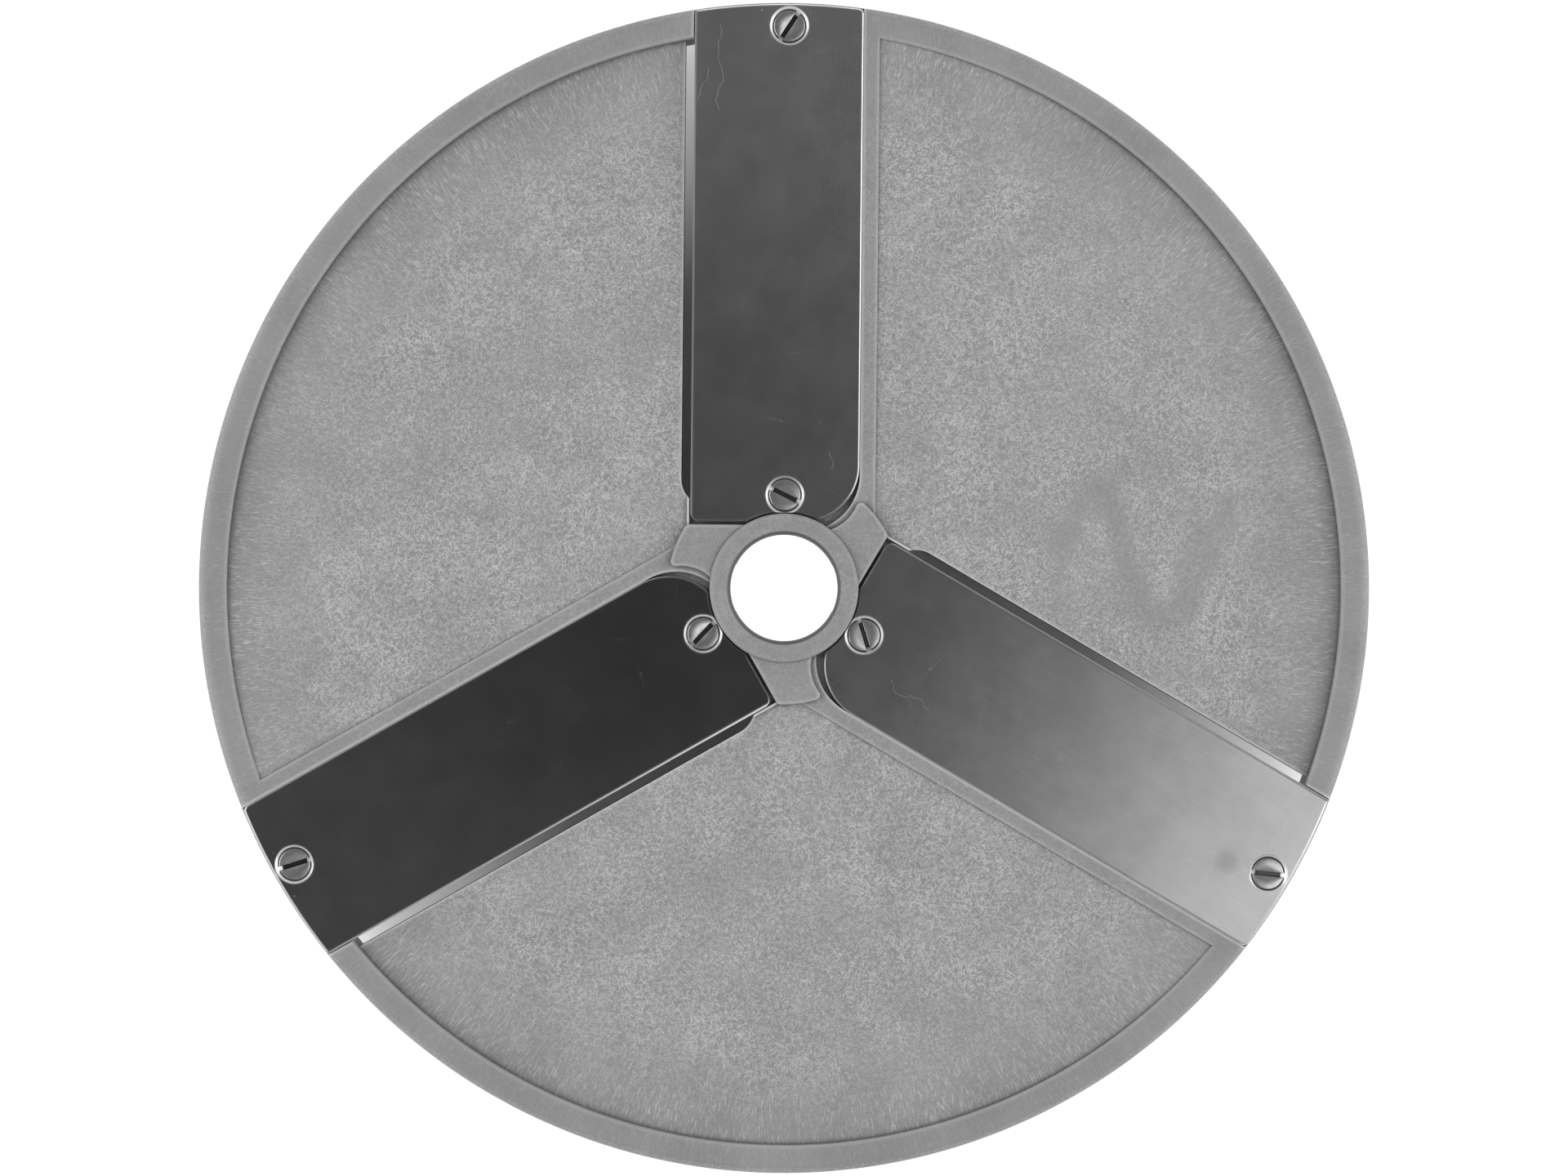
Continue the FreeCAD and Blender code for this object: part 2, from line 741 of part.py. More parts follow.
# Where each screw stopped turning, as the angle of its slot
SLOT_TURNS = {"outer": (57.0, -6.0, 18.0), "inner": (-26.0, -72.0, 47.0)}

pieces = [disc_body]
for number in range(1, BLADES + 1):
    pieces.append(add_blade(number))
    for name, reach in (("outer", outer_screw), ("inner", inner_screw)):
        turn = -360.0 / BLADES * (number - 1)
        pieces.append(add_screw(f"{name}_screw_{number}", reach, turn, SLOT_TURNS[name][number - 1]))
        pieces.append(add_insert(f"{name}_insert_{number}", reach, turn))

doc.recompute()
for item in doc.Objects:
    if "Invalid" in item.State or "Error" in item.State:
        raise RuntimeError(f"{item.Label}: {item.State}")
for piece in pieces:
    if piece.Shape.isNull() or not piece.Shape.isValid() or len(piece.Shape.Solids) != 1:
        raise RuntimeError(f"{piece.Label}: no valid single solid")

os.makedirs("parts", exist_ok=True)
for piece in pieces:
    piece.Shape.exportStep(f"parts/{piece.Label}.step")
    print(piece.Label, round(piece.Shape.Volume, 1), "mm3")
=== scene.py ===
import logging
import math
from collections.abc import Callable
from dataclasses import dataclass, field
from enum import Enum

import bmesh
import bpy
from mathutils import Matrix, Vector


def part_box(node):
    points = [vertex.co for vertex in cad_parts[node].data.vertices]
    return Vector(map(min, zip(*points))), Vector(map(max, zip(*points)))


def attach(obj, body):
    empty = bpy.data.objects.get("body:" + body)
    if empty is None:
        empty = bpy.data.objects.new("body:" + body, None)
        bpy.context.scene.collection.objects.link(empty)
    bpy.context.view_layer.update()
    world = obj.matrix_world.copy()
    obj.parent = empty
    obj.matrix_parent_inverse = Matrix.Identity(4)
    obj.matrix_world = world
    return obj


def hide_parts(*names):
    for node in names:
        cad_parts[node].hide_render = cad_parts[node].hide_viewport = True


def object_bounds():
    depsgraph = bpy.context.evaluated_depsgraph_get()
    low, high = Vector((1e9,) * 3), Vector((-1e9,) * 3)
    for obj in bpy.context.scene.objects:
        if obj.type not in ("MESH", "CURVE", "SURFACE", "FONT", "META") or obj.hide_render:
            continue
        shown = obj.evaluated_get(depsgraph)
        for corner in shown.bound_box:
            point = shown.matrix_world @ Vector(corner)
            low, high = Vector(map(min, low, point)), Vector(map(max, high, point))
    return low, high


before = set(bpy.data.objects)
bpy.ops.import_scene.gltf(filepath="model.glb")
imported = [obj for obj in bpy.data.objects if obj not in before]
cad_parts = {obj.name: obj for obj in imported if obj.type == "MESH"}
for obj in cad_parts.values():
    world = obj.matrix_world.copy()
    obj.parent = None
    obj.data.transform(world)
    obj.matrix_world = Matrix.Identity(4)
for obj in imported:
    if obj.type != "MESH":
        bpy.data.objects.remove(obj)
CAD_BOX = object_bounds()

LOG = logging.getLogger("slicing_disc")
MM = 0.001
BLADES = 3
NEXT = -360.0 / BLADES
PHOTO_WIDTH = 1920
NEAR = 0.01 * MM
SOFT = {"interpolation_type": "SMOOTHSTEP"}
Piece = bpy.types.Object
Node = bpy.types.Node
Socket = bpy.types.NodeSocket
Value = Node | Socket | float | tuple[float, ...]
EdgeTest = Callable[[Vector, Vector], bool]


class Way(Enum):
    """Which way an arc runs, seen with the outline the right way up."""

    ANTICLOCKWISE = 1
    CLOCKWISE = -1


class Mix(Enum):
    """How one solid is combined with others."""

    JOIN = "UNION"
    CUT = "DIFFERENCE"
    KEEP = "INTERSECT"


# Modelling by hand


def deselect_all() -> None:
    """Leave object mode with nothing selected."""
    if bpy.context.object and bpy.context.object.mode != "OBJECT":
        bpy.ops.object.mode_set(mode="OBJECT")
    bpy.ops.object.select_all(action="DESELECT")


def take(piece: Piece) -> None:
    """Select one piece alone and make it the active one.

    Args:
        piece: the piece.
    """
    deselect_all()
    piece.hide_set(False)
    piece.select_set(True)
    bpy.context.view_layer.objects.active = piece


def edit(piece: Piece, select: bool = False) -> bmesh.types.BMesh:
    """Go into edit mode on a piece.

    Args:
        piece: the piece to edit.
        select: True to start with all of it selected.

    Returns:
        The mesh that edit mode shows, for picking parts of it.
    """
    take(piece)
    bpy.ops.object.mode_set(mode="EDIT")
    bpy.ops.mesh.select_mode(type="EDGE")
    bpy.ops.mesh.select_all(action="SELECT" if select else "DESELECT")
    return bmesh.from_edit_mesh(piece.data)


def pick_edges(mesh: bmesh.types.BMesh, wanted: EdgeTest) -> int:
    """Select the edges whose two ends pass a test on their places.

    Args:
        mesh: the mesh in edit mode, with edge selection on.
        wanted: called with the two ends of an edge.

    Returns:
        How many edges are selected.
    """
    count = 0
    for edge in mesh.edges:
        edge.select = bool(wanted(edge.verts[0].co, edge.verts[1].co))
        count += edge.select
    mesh.select_flush_mode()
    return count


def round_edges(piece: Piece, radius: float, steps: int, wanted: EdgeTest) -> None:
    """Round the edges whose two ends pass a test on their places.

    Args:
        piece: the piece.
        radius: how far the round reaches from the edge.
        steps: how many facets the round has.
        wanted: called with the two ends of an edge.
    """
    pick_edges(edit(piece), wanted)
    bpy.ops.mesh.bevel(offset=radius, segments=steps, affect="EDGES", clamp_overlap=False)
    bpy.ops.object.mode_set(mode="OBJECT")


def level_points(piece: Piece) -> None:
    """Bring points that belong at one height to exactly one height."""
    for point in piece.data.vertices:
        point.co.z = round(point.co.z, 8)


def mend(piece: Piece, gap: float = 0.002 * MM) -> None:
    """Merge doubled points and turn every face outwards.

    Args:
        piece: the piece.
        gap: points nearer than this become one.
    """
    edit(piece, select=True)
    bpy.ops.mesh.remove_doubles(threshold=gap)
    bpy.ops.mesh.normals_make_consistent(inside=False)
    bpy.ops.object.mode_set(mode="OBJECT")


def smooth(piece: Piece, degrees: float) -> None:
    """Shade a piece smooth, apart from edges sharper than an angle."""
    take(piece)
    bpy.ops.object.shade_smooth_by_angle(angle=math.radians(degrees))


def flatten_shading(piece: Piece) -> None:
    """Let the flat faces shade flat and the narrow rounds between them shade round.

    Args:
        piece: the piece.
    """
    take(piece)
    bpy.ops.object.modifier_add(type="WEIGHTED_NORMAL")
    step = piece.modifiers[-1]
    step.keep_sharp = True
    bpy.ops.object.modifier_apply(modifier=step.name)


def settle(piece: Piece) -> None:
    """Put a piece's place, turn and size into its mesh."""
    take(piece)
    bpy.ops.object.transform_apply(location=True, rotation=True, scale=True)


def duplicate(piece: Piece, name: str, degrees: float = 0.0,
              move: Vector | None = None) -> Piece:
    """Copy a piece with its own mesh, turned about the axis of the disc and moved.

    Args:
        piece: the piece to copy.
        name: the copy's name.
        degrees: turn, anticlockwise from above.
        move: how far the copy moves after the turn.

    Returns:
        The copy, with its place in its mesh.
    """
    take(piece)
    bpy.ops.object.duplicate()
    copy = bpy.context.object
    copy.name = name
    copy.data.name = name
    copy.rotation_euler.z = math.radians(degrees)
    copy.location = move or Vector()
    settle(copy)
    return copy


def ring_of(piece: Piece) -> Piece:
    """Copy a piece to every blade and make the copies one mesh; the piece is used up.

    Args:
        piece: the piece.

    Returns:
        The copies as one piece.
    """
    copies = [duplicate(piece, f"{piece.name}_{step}", NEXT * step) for step in range(BLADES)]
    bpy.data.objects.remove(piece)
    return gather(copies)


def gather(pieces: list[Piece]) -> Piece:
    """Make one mesh of pieces that stand clear of each other.

    Args:
        pieces: the pieces, which become part of the first.

    Returns:
        The first piece.
    """
    take(pieces[0])
    for piece in pieces:
        piece.select_set(True)
    bpy.ops.object.join()
    return bpy.context.object


def combine(piece: Piece, others: list[Piece], how: Mix) -> Piece:
    """Combine a solid with others, which are used up.

    Args:
        piece: the solid that stays.
        others: the solids that are joined to it, cut from it or kept in common.
        how: the way they are combined.

    Returns:
        The solid that stays.
    """
    for other in others:
        take(piece)
        bpy.ops.object.modifier_add(type="BOOLEAN")
        step = piece.modifiers[-1]
        step.object = other
        step.operation = how.value
        step.solver = "EXACT"
        bpy.ops.object.modifier_apply(modifier=step.name)
        bpy.data.objects.remove(other)
    return piece


def turned(x: float, y: float, degrees: float = NEXT) -> Vector:
    """Carry a point of one blade's plan round to the next blade."""
    return Matrix.Rotation(math.radians(degrees), 2) @ Vector((x, y))


def on_circle(reach: float, x: float) -> float:
    """How far up the plan a point lies that has this x and this distance from the axis."""
    return math.sqrt(reach ** 2 - x ** 2)


def crossing(reach: float, centre: Vector, radius: float) -> Vector:
    """Where a circle about the axis meets another circle, on its clockwise side.

    Args:
        reach: radius of the circle about the axis.
        centre: centre of the other circle.
        radius: radius of the other circle.

    Returns:
        The point in plan.
    """
    along = (reach ** 2 - radius ** 2 + centre.length_squared) / (2 * centre.length)
    heading = centre.normalized()
    return heading * along + Vector((heading.y, -heading.x)) * math.sqrt(reach ** 2 - along ** 2)


class Pen:
    """A point pulled along an outline, flat in plan or upright through the axis."""

    arc_step = 0.6 * MM
    arc_turn = math.radians(15.0)

    def __init__(self, name: str, x: float, y: float, upright: bool = False) -> None:
        """Start an outline at a point.

        Args:
            name: name of the piece that is drawn.
            x: distance to the right, or out from the axis.
            y: distance up the page.
            upright: True where the page stands on the ground plane.
        """
        self.upright = upright
        self.at = Vector((x, y))
        deselect_all()
        bpy.ops.mesh.primitive_plane_add(size=MM, enter_editmode=True)
        self.piece = bpy.context.object
        self.piece.name = name
        self.piece.data.name = name
        bpy.ops.mesh.select_mode(type="VERT")
        bpy.ops.mesh.merge(type="CENTER")
        bpy.ops.transform.translate(value=self.place(self.at))

    def place(self, point: Vector) -> Vector:
        """Where a point of the page lies in space."""
        return Vector((point.x, 0, point.y)) if self.upright else Vector((point.x, point.y, 0))

    def line(self, x: float, y: float) -> "Pen":
        """Pull the point straight to a place.

        Args:
            x: how far across the page.
            y: how far up the page.

        Returns:
            The pen.
        """
        goal = Vector((x, y))
        pull = {"value": self.place(goal - self.at)}
        bpy.ops.mesh.extrude_vertices_move(TRANSFORM_OT_translate=pull)
        self.at = goal
        return self

    def arc(self, x: float, y: float, centre: tuple[float, float], way: Way) -> "Pen":
        """Swing the point to a place about a centre.

        Args:
            x: how far across the page the arc ends.
            y: how far up the page it ends.
            centre: centre of the arc.
            way: which way it runs.

        Returns:
            The pen.
        """
        middle, goal = Vector(centre), Vector((x, y))
        start, stop = self.at - middle, goal - middle
        swing = math.atan2(stop.y, stop.x) - math.atan2(start.y, start.x)
        swing = (swing * way.value) % math.tau * way.value
        steps = max(round(abs(swing) / self.arc_turn), round(abs(swing) * start.length / self.arc_step), 2)
        axis = (0, -1, 0) if self.upright else (0, 0, 1)
        bpy.ops.mesh.spin(steps=steps, angle=-swing, center=self.place(middle), axis=axis)
        self.at = goal
        return self

    def close(self, fill: bool = True) -> Piece:
        """Join the two ends, and fill the outline with a face if asked.

        Args:
            fill: True for a face inside the outline.

        Returns:
            The piece.
        """
        bpy.ops.mesh.select_all(action="SELECT")
        bpy.ops.mesh.remove_doubles(threshold=0.002 * MM)
        bpy.ops.mesh.select_all(action="DESELECT")
        mesh = bmesh.from_edit_mesh(self.piece.data)
        ends = [point for point in mesh.verts if len(point.link_edges) == 1]
        for point in ends:
            point.select = True
        if ends:
            bpy.ops.mesh.edge_face_add()
        bpy.ops.mesh.select_all(action="SELECT")
        if fill:
            bpy.ops.mesh.edge_face_add()
        bpy.ops.object.mode_set(mode="OBJECT")
        return self.piece

    def pull(self, start: float, stop: float) -> Piece:
        """Fill the outline and pull it into a solid, square to its page.

        Args:
            start: where the solid begins, above the ground or along Y.
            stop: where it ends.

        Returns:
            The solid.
        """
        piece = self.close()
        way = Vector((0, 1, 0)) if self.upright else Vector((0, 0, 1))
        edit(piece, select=True)
        bpy.ops.transform.translate(value=way * start)
        pull = {"value": way * (stop - start)}
        bpy.ops.mesh.extrude_region_move(TRANSFORM_OT_translate=pull)
        mend(piece)
        level_points(piece)
        return piece

    def turn(self, steps: int) -> Piece:
        """Spin the outline into a solid of revolution about the axis.

        Args:
            steps: how many facets a turn has.

        Returns:
            The solid.
        """
        piece = self.close(fill=False)
        edit(piece, select=True)
        bpy.ops.mesh.spin(steps=steps, angle=math.tau, center=(0, 0, 0), axis=(0, 0, 1))
        mend(piece)
        edit(piece, select=True)
        bpy.ops.mesh.delete_loose(use_verts=True, use_edges=True, use_faces=False)
        bpy.ops.object.mode_set(mode="OBJECT")
        level_points(piece)
        return piece


def outline(name: str, corners: list, upright: bool = False) -> Pen:
    """Draw an outline through straight corners and leave it open at its last one.

    Args:
        name: name of the piece.
        corners: its straight corners in order.
        upright: True where the page stands on the ground plane.

    Returns:
        The pen.
    """
    pen = Pen(name, *corners[0], upright=upright)
    for corner in corners[1:]:
        pen.line(*corner)
    return pen


def rectangle(name: str, left: float, right: float, near: float, far: float, degrees: float = 0.0) -> Pen:
    """Draw a rectangle in plan and carry it round the axis."""
    corners = ((left, near), (right, near), (right, far), (left, far))
    return outline(name, [turned(x, y, degrees) for x, y in corners])


# Shading


def linear(colour: str) -> tuple[float, float, float, float]:
    """Turn an sRGB hex colour into linear light.

    Args:
        colour: six hex digits after a hash.

    Returns:
        Red, green, blue and 1.
    """
    parts = [int(colour[start:start + 2], 16) / 255 for start in (1, 3, 5)]
    light = [part / 12.92 if part <= 0.04045 else ((part + 0.055) / 1.055) ** 2.4 for part in parts]
    return (*light, 1.0)


class Shades:
    """The nodes of a material or of the sky, with what several patterns share."""

    # How near other walls come where the painted shade in gaps begins and where it is full.
    painted_shade_reach = (0.12, 0.75)
    noise_range = (0.3, 0.7)

    def __init__(self, owner: bpy.types.Material | bpy.types.World) -> None:
        """Start with an empty node tree.

        Args:
            owner: the material or the sky.
        """
        self.owner = owner
        self.owner.use_nodes = True
        self.tree = self.owner.node_tree
        self.tree.nodes.clear()
        self.coordinates = self.add("TexCoord").outputs
        self.place = self.coordinates["Object"]

    def add(self, kind: str, inputs: dict | tuple = (), **settings: str | bool | int) -> Node:
        """Add a node with its settings and links.

        Args:
            kind: the node's type, without the words that every shader node's starts with.
            inputs: a value, an output or a node for each input, in order or by name. A node
                stands for the first of its outputs that is in use.
            settings: the node's own settings.

        Returns:
            The node.
        """
        node = self.tree.nodes.new("ShaderNode" + kind)
        for name, value in settings.items():
            setattr(node, name, value)
        for name, value in inputs.items() if isinstance(inputs, dict) else enumerate(inputs):
            if isinstance(value, Node):
                value = next(output for output in value.outputs if output.enabled)
            if isinstance(value, Socket):
                self.tree.links.new(value, node.inputs[name])
            else:
                node.inputs[name].default_value = value
        return node

    def chain(self, operation: str, *values: Value) -> Value:
        """Take several values together one after another, such as a product of them all.

        Args:
            operation: what is done with the result so far and the next value.
            values: the values, in order.

        Returns:
            The result.
        """
        result = values[0]
        for value in values[1:]:
            result = self.add("Math", (result, value), operation=operation)
        return result

    def sway(self, place: Value, size: float, detail: float, reach: float) -> Node:
        """Let a place wander, so that what is drawn on it isn't straight.

        Args:
            place: the coordinates.
            size: size of the bends.
            detail: how many finer bends are in each.
            reach: how far a place wanders at most.

        Returns:
            The coordinates that wander.
        """
        noise = self.add("TexNoise", {"Vector": place, "Scale": 1 / size, "Detail": detail})
        shift = self.add("VectorMath", (noise.outputs["Color"], (reach,) * 3), operation="MULTIPLY")
        return self.add("VectorMath", (place, shift), operation="ADD")

    def from_axis(self, place: Value) -> tuple[Node, Node]:
        """Where a place lies in plan, and how far that is from the middle."""
        flat = self.add("VectorMath", (place, (1, 1, 0)), operation="MULTIPLY")
        return flat, self.add("VectorMath", (flat,), operation="LENGTH")

    def nearness(self, distance: float, inside: bool) -> Node:
        """How much of the object lies near: other walls outside, or edges seen from inside.

        Args:
            distance: how far to look.
            inside: True to look inside the object.

        Returns:
            0 in the open to 1 hemmed in.
        """
        reach = {"Distance": distance}
        near = self.add("AmbientOcclusion", reach, inside=inside, only_local=inside, samples=4)
        return self.chain("SUBTRACT", 1.0, near.outputs["AO"])

    def clean(self, distance: float, darkest_painted_shade: float) -> Node:
        """Painted shade: 1 in the open, less down in gaps and corners, where shade falls."""
        walls = self.nearness(distance, inside=False)
        return self.add("MapRange", (walls, *self.painted_shade_reach, 1.0, darkest_painted_shade), **SOFT)

    def finish(self, shader: Node) -> bpy.types.Material:
        """Send a shader to the surface and return the material."""
        self.add("OutputMaterial", {"Surface": shader})
        return self.owner


@dataclass(frozen=True)
class FibreFilledNylon:
    """Nylon filled with short glass fibres, moulded and left as it left the mould.

    The fibres show through as light flecks a millimetre or two long, closer to
    radial near the rim, over cloudy grey. Edges are lighter from scuffing and from
    a painted highlight, and corners, gaps and the mouth of the bore are painted
    darker, as shade. It gives the eye a dull stony grey.
    """

    colour: str = "#898989"
    dark_colour: str = "#808080"
    fleck_colour: str = "#C2C2C2"
    # Edges: lighter from scuffing, and partly a painted highlight.
    edge_wear_and_highlight_colour: str = "#D2D2D2"
    roughness: float = 0.58
    ior: float = 1.53
    fleck_ways: tuple[float, ...] = (8.0, 52.0, 96.0, 141.0)
    fleck_range: tuple[float, float] = (0.57, 0.68)
    fleck_length: float = 1.0 * MM
    fleck_width: float = 0.14 * MM
    fleck_share: float = 0.85
    bend_size: float = 2.857143 * MM
    bend_reach: float = 0.7 * MM
    radial_range: tuple[float, float] = (0.53, 0.70)
    radial_length: float = 1.4 * MM
    rim_zone: tuple[float, float] = (76.0 * MM, 97.0 * MM)
    rim_share: float = 0.75
    smooth_zone: tuple[float, float] = (20.65 * MM, 20.85 * MM)
    smooth_share: float = 0.35
    patch_size: float = 9.0 * MM
    patch_range: tuple[float, float] = (0.32, 0.66)
    patch_share: float = 0.6
    cloud_size: float = 15.0 * MM
    cloud_range: tuple[float, float] = (0.32, 0.68)
    grain_size: float = 0.12 * MM
    grain_height: float = 0.02 * MM
    edge_width: float = 0.7 * MM
    edge_reach: tuple[float, float] = (0.05, 0.6)
    edge_share: float = 0.85
    # Corners and gaps are painted darker, as shade, over this distance.
    painted_corner_shade_width: float = 1.2 * MM
    darkest_painted_shade: float = 0.22
    fold_crest: tuple[float, float] = (60.0 * MM, 12.0 * MM)
    fold_height: float = 10.5 * MM
    fold_length: float = 24.8 * MM
    fold_width: tuple[float, float] = (0.2 * MM, 4.2 * MM)
    fold_centre: tuple[float, float] = (64.0 * MM, 9.0 * MM)
    fold_reach: tuple[float, float] = (14.0 * MM, 21.0 * MM)
    drift_size: float = 13.333333 * MM
    drift_reach: float = 11.0 * MM
    fold_clearing: float = 0.6
    fold_shade: float = 0.02
    # The mouth of the bore is painted darker, as shade.
    painted_bore_shade_reach: tuple[float, float] = (9.75 * MM, 10.15 * MM)
    painted_bore_shade: float = 0.30

    def flecks(self, shades: Shades, place: Value, degrees: float) -> Node:
        """Flecks that lie one way.

        Args:
            shades: the material's nodes.
            place: the coordinates.
            degrees: which way they lie.

        Returns:
            1 on a fleck, 0 beside it.
        """
        stretch = (self.fleck_length, self.fleck_width, self.fleck_length)
        lie = {"Vector": place, "Rotation": (0, 0, math.radians(degrees)), "Scale": stretch}
        spread = shades.add("Mapping", lie, vector_type="TEXTURE")
        noise = shades.add("TexNoise", {"Vector": spread, "Scale": 1.0, "Detail": 1.0})
        return shades.add("MapRange", (noise, *self.fleck_range), **SOFT)

    def radial_flecks(self, shades: Shades, radius: Node, flat: Node) -> Node:
        """Flecks that point at the axis, and stand upright on the rim's wall.

        Args:
            shades: the material's nodes.
            radius: distance from the axis.
            flat: the place in plan.

        Returns:
            1 on a fleck, 0 beside it.
        """
        heading = shades.add("VectorMath", (flat,), operation="NORMALIZE")
        reach = {0: heading, "Scale": self.rim_zone[1] / self.fleck_width}
        outward = shades.add("VectorMath", reach, operation="SCALE")
        height = shades.add("SeparateXYZ", (shades.place,)).outputs["Z"]
        depth = shades.chain("DIVIDE", height, self.fleck_width)
        along = shades.chain("ADD", shades.chain("DIVIDE", radius, self.radial_length), depth)
        lift = shades.add("CombineXYZ", {"Z": along})
        spread = shades.add("VectorMath", (outward, lift), operation="ADD")
        noise = shades.add("TexNoise", {"Vector": spread, "Scale": 1.0, "Detail": 1.0})
        return shades.add("MapRange", (noise, *self.radial_range), **SOFT)

    def all_flecks(self, shades: Shades) -> Node:
        """Flecks that lie every way in the panels and point at the axis near the rim.

        Args:
            shades: the material's nodes.

        Returns:
            1 on a fleck, 0 beside it.
        """
        place = shades.sway(shades.place, self.bend_size, 2.0, self.bend_reach)
        random = shades.chain("MAXIMUM", *(self.flecks(shades, place, way) for way in self.fleck_ways))
        flat, radius = shades.from_axis(shades.place)
        radial = self.radial_flecks(shades, radius, flat)
        near_rim = shades.add("MapRange", (radius, *self.rim_zone, 0.0, self.rim_share), **SOFT)
        return shades.add("Mix", {0: near_rim, 2: random, 3: radial})

    def fold(self, shades: Shades) -> Node:
        """A winding band where the melt folded over, smooth and almost free of flecks.

        Args:
            shades: the material's nodes.

        Returns:
            1 in the band, 0 outside it.
        """
        bent = shades.sway(shades.place, self.drift_size, 5.0, self.drift_reach)
        start = {"Vector": bent, "Location": (*self.fold_crest, 0)}
        crest = shades.add("Mapping", start, vector_type="TEXTURE")
        along, across = shades.add("SeparateXYZ", (crest,)).outputs[:2]
        wave = math.tau / self.fold_length
        phase = shades.chain("MULTIPLY", along, wave)
        cosine = shades.add("Math", (phase,), operation="COSINE")
        sine = shades.add("Math", (phase,), operation="SINE")
        centre = shades.chain("MULTIPLY", cosine, self.fold_height)
        slope = shades.chain("MULTIPLY", sine, self.fold_height * wave)
        stretch = shades.add("Math", (slope, slope, 1.0), operation="MULTIPLY_ADD")
        stretch = shades.add("Math", (stretch,), operation="SQRT")
        off = shades.add("Math", (shades.chain("SUBTRACT", across, centre),), operation="ABSOLUTE")
        off = shades.chain("DIVIDE", off, stretch)
        middle = {"Vector": shades.place, "Location": (*self.fold_centre, 0)}
        away = shades.from_axis(shades.add("Mapping", middle, vector_type="TEXTURE"))[1]
        near = shades.add("MapRange", (away, *self.fold_reach, 1.0, 0.0), **SOFT)
        band = shades.add("MapRange", (off, *self.fold_width, 1.0, 0.0), **SOFT)
        return shades.chain("MULTIPLY", band, near)

    def ground(self, shades: Shades) -> Node:
        """The cloudy grey between the flecks.

        Args:
            shades: the material's nodes.

        Returns:
            The colour.
        """
        wanted = {"Vector": shades.place, "Scale": 1 / self.cloud_size, "Detail": 5.0, "Roughness": 0.62}
        clouds = shades.add("TexNoise", wanted)
        clouds = shades.add("MapRange", (clouds, *self.cloud_range), **SOFT)
        greys = {0: clouds, 6: linear(self.dark_colour), 7: linear(self.colour)}
        return shades.add("Mix", greys, data_type="RGBA")

    def fleck_shares(self, shades: Shades, fleck: Node, band: Node) -> Node:
        """How much the flecks show: less in some patches, on the lands and in the fold.

        Args:
            shades: the material's nodes.
            fleck: 1 on a fleck.
            band: 1 in the fold.

        Returns:
            The share of the flecks' colour.
        """
        wanted = {"Vector": shades.place, "Scale": 1 / self.patch_size, "Detail": 4.0, "Roughness": 0.6}
        patchy = shades.add("TexNoise", wanted)
        patchy = shades.add("MapRange", (patchy, *self.patch_range, self.patch_share, 1.0), **SOFT)
        height = shades.add("SeparateXYZ", (shades.place,)).outputs["Z"]
        lands = shades.add("MapRange", (height, *self.smooth_zone, 1.0, self.smooth_share), **SOFT)
        fold = shades.add("Math", (band, -self.fold_clearing, 1.0), operation="MULTIPLY_ADD")
        return shades.chain("MULTIPLY", fleck, patchy, lands, fold, self.fleck_share)

    def material(self) -> bpy.types.Material:
        """The material, on the disc's own coordinates.

        Returns:
            The material.
        """
        shades = Shades(bpy.data.materials.new("glass_fibre_filled_nylon"))
        fleck, band = self.all_flecks(shades), self.fold(shades)
        shown = self.fleck_shares(shades, fleck, band)
        flecked = {0: shown, 6: self.ground(shades), 7: linear(self.fleck_colour)}
        colour = shades.add("Mix", flecked, data_type="RGBA")
        # Edges are lighter from scuffing, and partly from a painted highlight.
        edge = shades.nearness(self.edge_width, inside=True)
        edge = shades.add("MapRange", (edge, *self.edge_reach, 0.0, self.edge_share), **SOFT)
        scuffed_and_highlighted = {0: edge, 6: colour, 7: linear(self.edge_wear_and_highlight_colour)}
        colour = shades.add("Mix", scuffed_and_highlighted, data_type="RGBA")
        streak_and_painted_bore_shade = shades.add("Math", (band, -self.fold_shade, 1.0), operation="MULTIPLY_ADD")
        # Painted shade: the mouth of the bore darkens.
        radius = shades.from_axis(shades.place)[1]
        bore = shades.add("MapRange", (radius, *self.painted_bore_shade_reach, self.painted_bore_shade, 1.0), **SOFT)
        streak_and_painted_bore_shade = shades.chain("MULTIPLY", streak_and_painted_bore_shade, bore)
        # Painted shade: corners and gaps darken where shade falls.
        shade = shades.chain("MULTIPLY", shades.clean(self.painted_corner_shade_width, self.darkest_painted_shade), streak_and_painted_bore_shade)
        colour = shades.add("VectorMath", {0: colour, "Scale": shade}, operation="SCALE")
        grain = shades.add("TexNoise", {"Vector": shades.place, "Scale": 1 / self.grain_size, "Detail": 3.0})
        grain, fleck = shades.chain("MULTIPLY", grain, 0.5), shades.chain("MULTIPLY", fleck, 0.6)
        relief = shades.chain("ADD", grain, fleck)
        bump = shades.add("Bump", {"Height": relief, "Distance": self.grain_height, "Strength": 0.6})
        surface = {"Base Color": colour, "Roughness": self.roughness, "IOR": self.ior, "Normal": bump}
        return shades.finish(shades.add("BsdfPrincipled", surface))


@dataclass(frozen=True)
class Hair:
    """One long wandering scratch along a blade."""

    blade: int
    across: float
    near: float
    far: float
    sway: float


